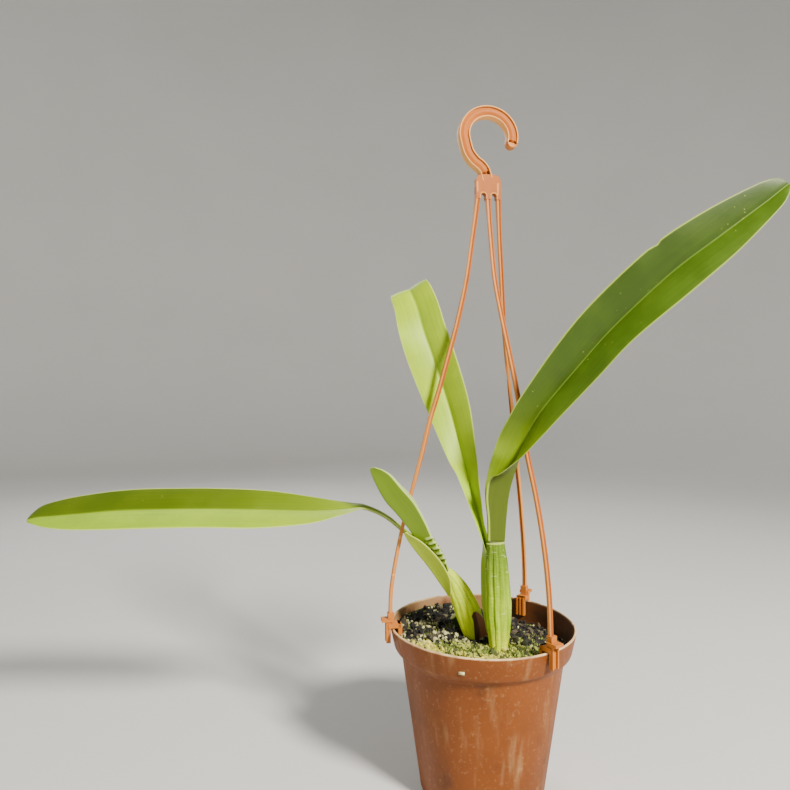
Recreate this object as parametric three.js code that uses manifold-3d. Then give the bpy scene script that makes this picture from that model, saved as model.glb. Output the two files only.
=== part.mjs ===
// A potted orchid of two growths in a round plastic hanging pot.
//
// Each growth is a flattened, ribbed bulb with its leaves and sheaths. The bulbs sit on a
// creeping stem in the potting mix, and its roots go down into the mix. A one-piece hanger
// with a hook and three thin legs is clipped to the rim of the pot.
//
// Millimetres, +Z up. The origin is the centre of the pot's base. The front faces -Y.

import * as THREE from 'three';
import { mergeVertices } from 'three/addons/utils/BufferGeometryUtils.js';
import Module from 'manifold-3d';

const wasm = await Module();
wasm.setup();

// Driving dimensions: clearances and the pot
const GAP = 0.3;
const POT_HEIGHT = 105;
const RIM_RADIUS = 60;
const WALL = 1.8;
const COLLAR_HEIGHT = 15.5;
const COLLAR_FOOT_RADIUS = 57;
const BODY_TOP_RADIUS = 52.5;
const BASE_RADIUS = 40;
const BOSS_RADIUS = 12;
const FOOT_RING_RADIUS = 31;
const CHANNEL_DEPTH = 2.5;
const DRAIN_HOLES = 8;
const DRAIN_HOLE_RADIUS = 3;
const DRAIN_CIRCLE_RADIUS = 22;
const POT_SIDES = 36;

// Driving dimensions: the potting mix
const MIX_LEVEL = 99.5;
const MIX_DIP = 10;
const MIX_SLOPE_TOWARDS = 35;
const LUMPS = 18;
const LUMP_SMALLEST = 2.6;
const LUMP_LARGEST = 5.2;
const LUMP_SPREAD = 48;

// Driving dimensions: the hanger
const HOOK_CENTRE = new THREE.Vector3(4.1, 0, 422.5);
const HOOK_RADIUS_ACROSS = 16.6;
const HOOK_RADIUS_UP = 15.5;
const HOOK_WIDTH = 7.3;
const HOOK_DEPTH = 6;
const HOOK_END_DEGREES = -13;
const HOOK_NECK_DEGREES = 188;
const HOOK_TURN = 12;
const PLATE_CENTRE_X = 4;
const PLATE_WIDTH = 17;
const PLATE_DEPTH = 4;
const PLATE_TOP = 397;
const PLATE_FOOT = 381;
const SLOT_WIDTH = 3.8;
const SLOT_TOP = 384.8;
const SLOT_CENTRES = [-3.6, 3.6];
const LEG_WIDTH = 2.9;
const LEG_DEPTH = 2.2;
const CLIP_ANGLES = { left: 190, front: -56, back: 51.5 };

// A small seeded random generator, so that the loose mix is the same each time
let seed = 20517;
function random() {
  seed = (seed * 1103515245 + 12345) % 2147483648;
  return seed / 2147483648;
}

const radians = THREE.MathUtils.degToRad;
const vector = (list) => new THREE.Vector3(...list);

// A geometry as a solid, with its faces turned outwards
function toSolid(geometry) {
  const bare = geometry.clone();
  bare.deleteAttribute('normal');
  bare.deleteAttribute('uv');
  const merged = mergeVertices(bare, 1e-4);
  const corners = merged.index.array;
  const kept = [];
  for (let i = 0; i < corners.length; i += 3) {
    const [a, b, c] = [corners[i], corners[i + 1], corners[i + 2]];
    if (a !== b && b !== c && a !== c) {
      kept.push(a, b, c);
    }
  }
  const build = (triangles) => new wasm.Manifold(new wasm.Mesh({
    numProp: 3,
    vertProperties: new Float32Array(merged.attributes.position.array),
    triVerts: new Uint32Array(triangles),
  }));
  const solid = build(kept);
  return solid.volume() > 0 ? solid : build(kept.slice().reverse());
}

function toGeometry(solid) {
  const mesh = solid.getMesh();
  const geometry = new THREE.BufferGeometry();
  geometry.setAttribute('position', new THREE.BufferAttribute(new Float32Array(mesh.vertProperties), 3));
  geometry.setIndex(new THREE.BufferAttribute(new Uint32Array(mesh.triVerts), 1));
  geometry.computeVertexNormals();
  return geometry;
}

// The largest body of a cut solid, without the scraps that a cut can leave
function mainBody(solid) {
  const bodies = solid.decompose();
  return bodies.reduce((best, body) => (body.volume() > best.volume() ? body : best));
}

// A closed body through rings of points. Each ring runs along its lower face and back along
// its upper face, so the two ends close as a strip between the faces.
function loft(rings) {
  const count = rings[0].length;
  const index = [];
  for (let ring = 0; ring < rings.length - 1; ring += 1) {
    for (let i = 0; i < count; i += 1) {
      const a = ring * count + i;
      const b = ring * count + (i + 1) % count;
      index.push(a, b, b + count, a, b + count, a + count);
    }
  }
  const lastRing = (rings.length - 1) * count;
  for (let i = 0; i < count / 2 - 1; i += 1) {
    const far = count - 1 - i;
    index.push(i, far, i + 1, i + 1, far, far - 1);
    index.push(lastRing + i, lastRing + i + 1, lastRing + far);
    index.push(lastRing + i + 1, lastRing + far - 1, lastRing + far);
  }
  const geometry = new THREE.BufferGeometry();
  const positions = rings.flat().flatMap((point) => point.toArray());
  geometry.setAttribute('position', new THREE.BufferAttribute(new Float32Array(positions), 3));
  geometry.setIndex(index);
  return toSolid(geometry);
}

// One row between the given rows, on a smooth curve through all of them
function rowAt(rows, t) {
  const last = rows.length - 1;
  const i = Math.min(Math.floor(t * last), last - 1);
  const f = t * last - i;
  const before = rows[Math.max(i - 1, 0)];
  const after = rows[Math.min(i + 2, last)];
  return rows[i].map((start, k) => {
    const end = rows[i + 1][k];
    const leave = (end - before[k]) / 2;
    const arrive = (after[k] - start) / 2;
    const cubic = 2 * (start - end) + leave + arrive;
    const square = 3 * (end - start) - 2 * leave - arrive;
    return start + f * (leave + f * (square + f * cubic));
  });
}

// Place, direction, side and face of a strip at t. A row starts with the middle point and the
// direction of the side.
function frameAt(rows, t) {
  const row = rowAt(rows, t);
  const step = 0.002;
  const ahead = rowAt(rows, Math.min(t + step, 1));
  const behind = rowAt(rows, Math.max(t - step, 0));
  const along = vector(ahead.slice(0, 3)).sub(vector(behind.slice(0, 3))).normalize();
  const side = vector(row.slice(3, 6));
  side.addScaledVector(along, -side.dot(along)).normalize();
  const face = new THREE.Vector3().crossVectors(along, side);
  return { middle: vector(row.slice(0, 3)), along, side, face, rest: row.slice(6) };
}

function pointIn(frame, across, rise) {
  return frame.middle.clone().addScaledVector(frame.side, across).addScaledVector(frame.face, rise);
}

// A leaf or sheath as a thin channelled strip. Each row gives its middle point, the direction
// of its side, its two half widths, the fold of each half in degrees, how much the halves curl
// further, and its thickness at the midrib and at the margins.
const ACROSS = [-1, -0.6, -0.2, 0, 0.2, 0.6, 1];
const MIDRIB_SHARE = 0.7;

function strip(rows, steps, grow = 0, ripple = () => 0) {
  const rings = [];
  for (let i = 0; i <= steps; i += 1) {
    const t = i / steps;
    const frame = frameAt(rows, t);
    const [left, right, fold, curl, middleThickness, edgeThickness] = frame.rest;
    const lower = [];
    const upper = [];
    for (const share of ACROSS) {
      const reach = Math.abs(share);
      const half = (share < 0 ? left : right) + grow;
      const angle = radians(fold + curl * reach / 2);
      const across = share * half * Math.cos(angle);
      const rise = reach * half * Math.sin(angle) + ripple(t, share);
      const thickness = edgeThickness + (middleThickness - edgeThickness) * (1 - reach) ** 2 + 2 * grow;
      lower.push(pointIn(frame, across, rise - thickness * MIDRIB_SHARE));
      upper.unshift(pointIn(frame, across, rise + thickness * (1 - MIDRIB_SHARE)));
    }
    rings.push([...lower, ...upper]);
  }
  return loft(rings);
}

// A bulb as rings round its axis. Each row gives the middle point, the direction of its broad
// side, and its half width and half depth. Ribs run along it.
function bulb(rows, { steps, sides, ribs, ribDepth, grow = 0 }) {
  const rings = [];
  for (let i = 0; i <= steps; i += 1) {
    const t = i / steps;
    const frame = frameAt(rows, t);
    const [halfWidth, halfDepth] = frame.rest;
    const ring = [];
    for (let k = 0; k < sides; k += 1) {
      const angle = 2 * Math.PI * (k + 0.5) / sides;
      const rib = 1 - ribDepth * Math.sin(Math.PI * t) * (0.5 - 0.5 * Math.cos(ribs * angle));
      const across = (halfWidth * rib + grow) * Math.cos(angle);
      const rise = (halfDepth * rib + grow) * Math.sin(angle);
      ring.push(pointIn(frame, across, rise));
    }
    rings.push(ring);
  }
  return loft(rings);
}

// A bar of one section along a route. The section runs along its lower face and back along
// its upper face. Each row gives the middle point and the direction of the side.
function sweep(rows, section, steps) {
  const rings = [];
  for (let i = 0; i <= steps; i += 1) {
    const frame = frameAt(rows, i / steps);
    rings.push(section.map(([across, rise]) => pointIn(frame, across, rise)));
  }
  return loft(rings);
}

// A round tube along a route of points, thinner towards its end
function tube(points, { startRadius, endRadius, sides, steps }) {
  const rows = points.map((point) => [...point, 0.3, 1, 0.1]);
  const rings = [];
  for (let i = 0; i <= steps; i += 1) {
    const t = i / steps;
    const frame = frameAt(rows, t);
    const radius = startRadius + (endRadius - startRadius) * t;
    const ring = [];
    for (let k = 0; k < sides; k += 1) {
      const angle = 2 * Math.PI * (k + 0.5) / sides;
      ring.push(pointIn(frame, radius * Math.cos(angle), radius * Math.sin(angle)));
    }
    rings.push(ring);
  }
  return loft(rings);
}

function revolve(profile, sides) {
  const points = profile.map(([radius, height]) => new THREE.Vector2(radius, height));
  return toSolid(new THREE.LatheGeometry(points, sides).rotateX(Math.PI / 2));
}

function boxBetween(low, high) {
  const size = high.map((value, k) => value - low[k]);
  const middle = high.map((value, k) => (value + low[k]) / 2);
  return new THREE.BoxGeometry(...size).translate(...middle);
}

// The pot: foot ring and boss level at the base, a channel with drain holes between them, a
// tapered body, a stepped collar and a rounded lip
const COLLAR_FOOT = POT_HEIGHT - COLLAR_HEIGHT;
const STEP_HEIGHT = 2.5;
const LIP = 0.7;

const insideProfile = [
  [0, WALL],
  [BOSS_RADIUS, WALL],
  [BOSS_RADIUS + 2, WALL + CHANNEL_DEPTH],
  [FOOT_RING_RADIUS - 2, WALL + CHANNEL_DEPTH],
  [FOOT_RING_RADIUS, WALL],
  [BASE_RADIUS - WALL - 0.5, WALL],
  [BASE_RADIUS - WALL, WALL + 1],
  [BODY_TOP_RADIUS - WALL, COLLAR_FOOT - STEP_HEIGHT],
  [COLLAR_FOOT_RADIUS - WALL, COLLAR_FOOT + 0.5],
  [RIM_RADIUS - WALL, POT_HEIGHT - LIP],
];

function makePot() {
  const outside = [
    [0, 0],
    [BOSS_RADIUS + WALL, 0],
    [BOSS_RADIUS + WALL + 1, CHANNEL_DEPTH],
    [FOOT_RING_RADIUS - WALL - 1, CHANNEL_DEPTH],
    [FOOT_RING_RADIUS - WALL, 0],
    [BASE_RADIUS - 1, 0],
    [BASE_RADIUS, 1],
    [BODY_TOP_RADIUS, COLLAR_FOOT - STEP_HEIGHT],
    [BODY_TOP_RADIUS + 1, COLLAR_FOOT - STEP_HEIGHT + 0.8],
    [COLLAR_FOOT_RADIUS - 1.2, COLLAR_FOOT],
    [COLLAR_FOOT_RADIUS, COLLAR_FOOT + 1.4],
    [RIM_RADIUS, POT_HEIGHT - LIP],
    [RIM_RADIUS - 0.4, POT_HEIGHT],
    [RIM_RADIUS - WALL + 0.4, POT_HEIGHT],
  ];
  let pot = revolve([...outside, ...insideProfile.slice().reverse()], POT_SIDES);
  for (let i = 0; i < DRAIN_HOLES; i += 1) {
    const angle = 2 * Math.PI * (i + 0.5) / DRAIN_HOLES;
    const hole = new THREE.CylinderGeometry(DRAIN_HOLE_RADIUS, DRAIN_HOLE_RADIUS, 4 * WALL, 10);
    hole.rotateX(Math.PI / 2);
    hole.translate(
      DRAIN_CIRCLE_RADIUS * Math.cos(angle),
      DRAIN_CIRCLE_RADIUS * Math.sin(angle),
      CHANNEL_DEPTH + WALL / 2,
    );
    pot = pot.subtract(toSolid(hole));
  }
  return pot;
}

// The growth on the right: a bulb with an upright broad side, and the leaf on its top
const BULB_A = [
  [5.6, -31, 91, 1, 0.1, 0, 4.8, 4],
  [6.0, -31, 98, 1, 0.1, 0, 5.2, 4.4],
  [6.3, -31, 110, 1, 0.1, 0, 6.9, 5],
  [6.1, -31, 122, 1, 0.1, 0, 7.9, 5.4],
  [5.7, -31, 135, 1, 0.1, 0, 7.8, 5.3],
  [5.1, -31, 149, 1, 0.1, 0, 7.1, 4.8],
  [4.6, -31, 158, 1, 0.1, 0.1, 6.2, 4.2],
  [4.3, -31, 164, 1, 0.1, 0.2, 5.4, 3.6],
];

const LEAF_RIGHT = [
  [7.9, -31, 164.6, 0, 1, 0, 8.4, 8.4, 76, 0, 2.4, 1.8],
  [8.8, -31, 177.6, 0, 1, 0, 9.6, 9.6, 76, 0, 2.4, 1.8],
  [10.2, -32, 192, 0, 1, 0, 12.6, 12.6, 75, 0, 2.3, 1.8],
  [12.4, -33.5, 202.5, -0.1, 0.99, 0, 13.6, 13.6, 72, 0, 2.2, 1.7],
  [16, -35.5, 213.2, -0.52, 0.83, 0.18, 13.2, 14.8, 57, 0, 2.2, 1.6],
  [19.2, -38, 223.1, -0.68, 0.68, 0.28, 12.9, 15.3, 45, 0, 2.1, 1.4],
  [23.5, -41, 233.7, -0.8, 0.47, 0.36, 12.9, 15.6, 40, 0, 2, 1.2],
  [30.3, -45, 246, -0.81, 0.31, 0.5, 13.6, 16.5, 35, 0, 1.9, 1.1],
  [48.8, -52, 270.1, -0.73, 0.29, 0.61, 15.1, 18.7, 30, 0, 1.8, 1.1],
  [67.5, -58, 292.5, -0.7, 0.34, 0.62, 16, 19.2, 28, 0, 1.8, 1],
  [96.1, -65, 320.7, -0.64, 0.26, 0.72, 17.1, 19, 24, 0, 1.7, 1],
  [120, -70, 339.5, -0.58, 0.28, 0.77, 14.5, 16.5, 22, 0, 1.6, 1],
  [142.5, -73.5, 356.6, -0.56, 0.34, 0.75, 9.2, 11.4, 22, 0, 1.5, 1],
  [150, -74.5, 362.7, -0.56, 0.34, 0.75, 5.8, 8.4, 20, 0, 1.4, 1],
  [155, -75, 366.8, -0.56, 0.34, 0.75, 1.6, 4, 12, 0, 1.2, 1],
];

const LEAF_UPRIGHT = [
  [0.8, -29, 108, 0, -1, 0, 1.2, 1.2, 30, 0, 1.2, 1],
  [-0.8, -29.5, 116, -0.17, -0.98, 0, 4.5, 4.5, 44, 0, 1.3, 1],
  [-2.6, -29.5, 128, -0.2, -0.98, 0, 6.5, 6.5, 46, 0, 1.4, 1],
  [-2.9, -29, 140, -0.3, -0.95, 0, 6.5, 6.5, 48, 0, 1.5, 1.1],
  [-2.5, -27.5, 150, -0.6, -0.8, 0, 6, 6, 58, 0, 2, 1.4],
  [-1.9, -25.5, 160, -0.95, -0.3, 0, 6.3, 6.3, 70, 0, 2.4, 1.6],
  [-3.3, -24, 171.9, -0.98, 0.17, 0, 7.4, 6.8, 70, 0, 2.4, 1.6],
  [-6.4, -20.5, 184.7, -0.97, 0.24, 0, 9.4, 7, 60, 0, 2.3, 1.5],
  [-10.2, -15.5, 200, -0.98, 0.2, -0.1, 10.8, 8.4, 48, 0, 2.2, 1.3],
  [-13.4, -9, 213.6, -0.95, 0.25, -0.2, 12.6, 10.4, 34, 0, 2.1, 1.2],
  [-20.6, -0.4, 244.1, -0.92, 0.28, -0.25, 15.2, 14.6, 20, 0, 1.9, 1.1],
  [-30.5, 5.4, 276.1, -0.94, 0.18, -0.3, 15.5, 17.3, 17, 0, 1.8, 1],
  [-37.4, 9, 296.4, -0.93, 0.05, -0.35, 15.3, 17.1, 16, 0, 1.7, 1],
  [-41.6, 16, 312.8, -0.9, 0, -0.4, 14.8, 15.6, 12, 0, 1.7, 1],
  [-45.8, 27.5, 325.6, -0.88, 0.05, -0.42, 14, 14.6, 6, 0, 1.6, 1],
  [-46.6, 42, 328.4, -0.86, 0.1, -0.42, 12, 12.4, 5, 0, 1.5, 1],
  [-46.6, 56, 323.4, -0.86, 0.1, -0.42, 8.6, 8.6, 4, 0, 1.4, 1],
  [-46.6, 64, 318, -0.86, 0.1, -0.42, 2.4, 2.4, 0, 0, 1.2, 1],
];

// The growth on the left: a leaning bulb, its long level leaf, its short folded leaf and the
// green sheath along its front
const BULB_B = [
  [-3.5, -12, 91, 1, 0, 0.35, 5.2, 4.6],
  [-4.6, -11.5, 97, 1, 0, 0.35, 6.3, 5],
  [-7.8, -11.5, 108, 1, 0, 0.4, 7.8, 5.6],
  [-11.6, -11.5, 119, 1, 0, 0.4, 7.9, 5.6],
  [-16, -11.5, 129, 1, 0, 0.45, 6.6, 4.8],
  [-20, -11.5, 136.5, 1, 0, 0.5, 4.6, 3.8],
  [-24, -11.5, 141.5, 1, 0, 0.6, 2.8, 2.8],
];

const LEAF_LONG = [
  [-25, -9, 143.2, 0.3, -1, 0, 3.2, 3.2, 40, 0, 2.4, 1.4],
  [-32.1, -6.5, 149.6, 0.15, -1, 0, 3.8, 3.8, 32, 0, 2.2, 1.3],
  [-37.2, -4, 154.2, 0.05, -1, 0, 4.2, 4.2, 20, 0, 1.8, 1.2],
  [-50.1, -2, 164.4, 0, -1, 0, 4.4, 4.4, 10, 0, 1.6, 1.1],
  [-63.1, -1.5, 174.4, 0, -1, 0, 5, 5, 8, 0, 1.5, 1],
  [-76.5, -1.5, 179.8, 0, -0.99, -0.1, 5.4, 5.2, 8, 0, 1.5, 1],
  [-87.3, -1.5, 179.2, 0, -0.95, -0.3, 7.3, 8.5, 8, 0, 1.6, 1],
  [-109.3, -1.5, 177.9, 0, -0.88, -0.48, 12, 15.2, 8, 0, 1.8, 1],
  [-141.8, -1, 178.4, 0, -0.84, -0.545, 16.3, 19.8, 8, 0, 1.8, 1],
  [-177.6, -0.5, 178.8, 0, -0.84, -0.545, 18, 20.3, 8, 0, 1.8, 1],
  [-214.8, 0, 178.3, 0, -0.84, -0.545, 18.5, 20.7, 8, 0, 1.7, 1],
  [-241.7, 0, 177.3, 0, -0.84, -0.545, 17.9, 20.2, 8, 0, 1.7, 1],
  [-262.9, 0, 175.5, 0, -0.84, -0.545, 16.5, 17.3, 8, 0, 1.6, 1],
  [-279.4, 0, 174.1, 0, -0.84, -0.545, 14.1, 12.6, 7, 0, 1.5, 1],
  [-291, 0, 173.2, 0, -0.84, -0.545, 10.2, 7, 5, 0, 1.3, 1],
  [-297.4, 0, 171.7, 0, -0.84, -0.545, 2.6, 2.4, 0, 0, 1.2, 1],
];

const LEAF_SHORT = [
  [-25, -13, 141.3, 0, -1, 0, 3.5, 3.5, 52, 0, 2, 1.4],
  [-29.5, -14.2, 147.7, 0, -1, 0, 6.2, 6.2, 58, 0, 2, 1.5],
  [-34.6, -15.8, 154.4, 0, -1, 0, 7.4, 7.4, 62, 0, 2, 1.6],
  [-40.9, -17.4, 160.9, 0, -1, 0, 9.4, 9.4, 65, 0, 2, 1.7],
  [-48.4, -18.6, 169.9, 0, -1, 0, 11.6, 11.6, 68, 0, 2, 1.7],
  [-54.7, -19, 179.1, 0, -1, 0, 13.4, 13.4, 68, 0, 2, 1.7],
  [-61.5, -18.6, 188.4, 0, -1, 0, 12.9, 12.9, 68, 0, 2, 1.7],
  [-67.2, -17.6, 198.6, 0, -1, 0, 10.2, 10.2, 68, 0, 2, 1.6],
  [-70, -16.8, 204.6, 0, -1, 0, 6.2, 6.2, 62, 0, 1.8, 1.5],
  [-70.9, -16.6, 207.6, 0, -1, 0, 2.4, 2.4, 50, 0, 1.6, 1.3],
];

const BRACT_GREEN = [
  [-21.6, -12.2, 126, 0, -1, 0, 1.5, 1.5, 30, 0, 1.2, 1],
  [-26.6, -12.8, 133.6, 0, -1, 0, 6, 7.5, 48, 0, 1.3, 1],
  [-34.1, -14.2, 144.7, 0, -1, 0, 6.4, 9.6, 52, 0, 1.4, 1],
  [-42.4, -16.4, 155.5, 0, -1, 0, 6, 8.6, 52, 0, 1.4, 1],
  [-47.3, -17.8, 162.3, 0, -1, 0, 4.6, 5.4, 50, 0, 1.3, 1],
  [-50.2, -18.4, 167.3, 0, -1, 0, 1.2, 1.2, 30, 0, 1.2, 1],
];

const BRACT_BROWN = [
  [-3.2, -18.8, 96, 1, -0.1, 0.3, 8.4, 8.4, 32, 20, 1, 0.8],
  [-3.4, -19, 102, 1, -0.1, 0.3, 8.4, 8.2, 30, 20, 1, 0.8],
  [-4.2, -18.8, 108, 1, -0.1, 0.3, 7, 6.8, 28, 20, 1, 0.8],
  [-5.4, -18.4, 113, 1, -0.1, 0.3, 4.6, 4.4, 24, 20, 1, 0.8],
  [-6.6, -18, 117.5, 1, -0.1, 0.3, 1, 1, 10, 0, 0.9, 0.8],
];

const BACK_BULB = [
  [-5.5, 1, 92, 1, 0, 0.5, 4.2, 4.2],
  [-9, 1, 97.5, 1, 0, 0.5, 4.8, 4.6],
  [-13.5, 1, 104, 1, 0, 0.5, 4.6, 4.4],
  [-17.5, 1, 109, 1, 0, 0.5, 3.4, 3.2],
];

// The creeping stem joins the bulbs under the surface, and its roots spread down the pot
const STEM_RADIUS = 3;
const STEM = [
  [-5, 4, 89.5],
  [-4, -4, 88],
  [-3.4, -12, 87.4],
  [0, -22, 87.4],
  [5.6, -31, 87.6],
  [8.5, -35, 88.6],
];
const ROOT_RADIUS = 1.6;
const ROOT_TIP_RADIUS = 1.1;
const ROOTS = [
  [[-4, -2, 88], [-14, 8, 74], [-26, 14, 52], [-24, 20, 24]],
  [[-3.6, -9, 87.5], [-16, -12, 72], [-32, -14, 54], [-28, -8, 26]],
  [[-1.5, -18, 87.5], [2, -8, 70], [12, 8, 52], [8, 18, 18]],
  [[1.5, -25, 87.5], [-6, -34, 74], [-14, -38, 54], [-8, -26, 20]],
  [[5, -30, 87.6], [18, -28, 74], [32, -18, 58], [26, -8, 24]],
  [[7, -33, 88], [12, -38, 72], [14, -36, 50], [4, -26, 34]],
];

function makeRhizome(grow) {
  let stem = tube(STEM, {
    startRadius: STEM_RADIUS + grow,
    endRadius: STEM_RADIUS - 0.6 + grow,
    sides: 8,
    steps: 12,
  });
  for (const route of ROOTS) {
    const root = tube(route, {
      startRadius: ROOT_RADIUS + grow,
      endRadius: ROOT_TIP_RADIUS + grow,
      sides: 6,
      steps: 7,
    });
    stem = stem.add(root);
  }
  return stem;
}

// The loose mix: a level that dips to the right and back, an uneven surface, and lumps of bark
function mixLevel(x, y) {
  const towards = radians(MIX_SLOPE_TOWARDS);
  const inner = RIM_RADIUS - 2 * WALL;
  const share = (x * Math.cos(towards) + y * Math.sin(towards)) / inner;
  return MIX_LEVEL - MIX_DIP * THREE.MathUtils.smoothstep(share, 0.05, 1);
}

// The radius of the pot's inner wall at a height
function innerRadius(height) {
  const above = insideProfile.findIndex(([, level], i) => i > 6 && level >= height);
  const [lowRadius, low] = insideProfile[above - 1];
  const [highRadius, high] = insideProfile[above];
  return lowRadius + (highRadius - lowRadius) * (height - low) / (high - low);
}

function makeMixBody() {
  const rough = 1.1;
  const surfaceRadius = 54;
  const shares = [1, 0.86, 0.7, 0.54, 0.38, 0.2];
  const column = insideProfile.slice(1, 8).map(([radius, height]) => {
    const onChannelFoot = radius > BOSS_RADIUS + 2 && radius <= FOOT_RING_RADIUS;
    return [radius + (onChannelFoot ? GAP : -GAP), height + GAP];
  });
  const rings = [];
  for (const [radius, height] of column) {
    rings.push((angle) => new THREE.Vector3(radius * Math.cos(angle), radius * Math.sin(angle), height));
  }
  for (const share of shares) {
    rings.push((angle) => {
      const away = surfaceRadius * share;
      const guess = mixLevel(away * Math.cos(angle), away * Math.sin(angle));
      const radius = share * (innerRadius(guess - rough) - GAP);
      const lift = share === 1 ? -rough : rough * (2 * random() - 1);
      return new THREE.Vector3(radius * Math.cos(angle), radius * Math.sin(angle), guess + lift);
    });
  }
  const positions = [0, 0, WALL + GAP];
  for (const ring of rings) {
    for (let i = 0; i < POT_SIDES; i += 1) {
      positions.push(...ring(2 * Math.PI * i / POT_SIDES).toArray());
    }
  }
  positions.push(0, 0, MIX_LEVEL);
  const last = positions.length / 3 - 1;
  const index = [];
  for (let i = 0; i < POT_SIDES; i += 1) {
    const next = (i + 1) % POT_SIDES;
    index.push(0, 1 + next, 1 + i);
    for (let ring = 0; ring < rings.length - 1; ring += 1) {
      const a = 1 + ring * POT_SIDES + i;
      const b = 1 + ring * POT_SIDES + next;
      index.push(a, b, b + POT_SIDES, a, b + POT_SIDES, a + POT_SIDES);
    }
    const top = last - POT_SIDES;
    index.push(top + i, top + next, last);
  }
  const geometry = new THREE.BufferGeometry();
  geometry.setAttribute('position', new THREE.BufferAttribute(new Float32Array(positions), 3));
  geometry.setIndex(index);
  return toSolid(geometry);
}

function makeMix(cutters) {
  let mix = makeMixBody();
  for (let i = 0; i < LUMPS; i += 1) {
    const angle = 2 * Math.PI * random();
    const away = LUMP_SPREAD * Math.sqrt(random());
    const size = LUMP_SMALLEST + (LUMP_LARGEST - LUMP_SMALLEST) * random();
    const lump = new THREE.IcosahedronGeometry(size, 0);
    lump.scale(1.5, 1, 0.8);
    lump.rotateX(random() - 0.5);
    lump.rotateZ(Math.PI * random());
    const x = away * Math.cos(angle);
    const y = away * Math.sin(angle);
    lump.translate(x, y, mixLevel(x, y));
    mix = mix.add(toSolid(lump));
  }
  for (const cutter of cutters) {
    mix = mix.subtract(cutter);
  }
  return mainBody(mix);
}

// The hanger: a ribbed hook, a plate, three grooved legs and three clips over the rim
const hookSection = [
  [-HOOK_WIDTH / 2, -HOOK_DEPTH / 2],
  [-HOOK_WIDTH / 2 + 1, -HOOK_DEPTH / 2],
  [-HOOK_WIDTH / 2 + 1.4, -HOOK_DEPTH / 2 + 1.1],
  [-1.2, -HOOK_DEPTH / 2 + 1.1],
  [0, -HOOK_DEPTH / 2 + 0.2],
  [1.2, -HOOK_DEPTH / 2 + 1.1],
  [HOOK_WIDTH / 2 - 1.4, -HOOK_DEPTH / 2 + 1.1],
  [HOOK_WIDTH / 2 - 1, -HOOK_DEPTH / 2],
  [HOOK_WIDTH / 2, -HOOK_DEPTH / 2],
];
const legSection = [
  [-LEG_WIDTH / 2, -LEG_DEPTH / 2],
  [-LEG_WIDTH / 4, -LEG_DEPTH / 2],
  [0, -LEG_DEPTH / 2 + 0.7],
  [LEG_WIDTH / 4, -LEG_DEPTH / 2],
  [LEG_WIDTH / 2, -LEG_DEPTH / 2],
];
function bothFaces(section) {
  const upperFace = section.slice().reverse().map(([across, rise]) => [across, -rise]);
  return [...section, ...upperFace];
}

function makeHook() {
  const rows = [];
  const arcSteps = 16;
  for (let i = 0; i <= arcSteps; i += 1) {
    const angle = radians(HOOK_END_DEGREES + (HOOK_NECK_DEGREES - HOOK_END_DEGREES) * i / arcSteps);
    const outward = [Math.cos(angle), 0, Math.sin(angle)];
    rows.push([
      HOOK_CENTRE.x + HOOK_RADIUS_ACROSS * outward[0],
      0,
      HOOK_CENTRE.z + HOOK_RADIUS_UP * outward[2],
      ...outward,
    ]);
  }
  rows.push([-9.8, 0, 411.2, -0.9, 0, -0.45]);
  rows.push([-5.6, 0, 405.6, -0.72, 0, -0.7]);
  rows.push([-1.3, 0, 402.4, -0.72, 0, -0.7]);
  rows.push([1.6, 0, 398.8, -0.88, 0, -0.5]);
  rows.push([3.4, 0, 394, -1, 0, -0.1]);
  const bar = sweep(rows, bothFaces(hookSection), 30);
  const end = rows[0];
  const cap = new THREE.CylinderGeometry(HOOK_WIDTH / 2, HOOK_WIDTH / 2, HOOK_DEPTH, 12);
  cap.translate(end[0], 0, end[2]);
  return bar.add(toSolid(cap));
}

function makePlate() {
  const half = PLATE_WIDTH / 2;
  const round = 4.6;
  const outline = new THREE.Shape();
  outline.moveTo(-half, PLATE_FOOT);
  outline.lineTo(half, PLATE_FOOT);
  outline.lineTo(half, PLATE_TOP - round);
  outline.absarc(half - round, PLATE_TOP - round, round, 0, Math.PI / 2);
  outline.lineTo(-half + round, PLATE_TOP);
  outline.absarc(-half + round, PLATE_TOP - round, round, Math.PI / 2, Math.PI);
  const sheet = { depth: PLATE_DEPTH, bevelEnabled: false, curveSegments: 5 };
  const blank = new THREE.ExtrudeGeometry(outline, sheet);
  blank.translate(0, 0, -PLATE_DEPTH / 2).rotateX(Math.PI / 2);
  let plate = toSolid(blank);
  for (const x of SLOT_CENTRES) {
    const end = new THREE.CylinderGeometry(SLOT_WIDTH / 2, SLOT_WIDTH / 2, 2 * PLATE_DEPTH, 12);
    end.translate(x, 0, SLOT_TOP - SLOT_WIDTH / 2);
    const low = [x - SLOT_WIDTH / 2, -PLATE_DEPTH, PLATE_FOOT - 1];
    const high = [x + SLOT_WIDTH / 2, PLATE_DEPTH, SLOT_TOP - SLOT_WIDTH / 2];
    plate = plate.subtract(toSolid(end)).subtract(toSolid(boxBetween(low, high)));
  }
  return plate.translate(PLATE_CENTRE_X, 0, 0);
}

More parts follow.
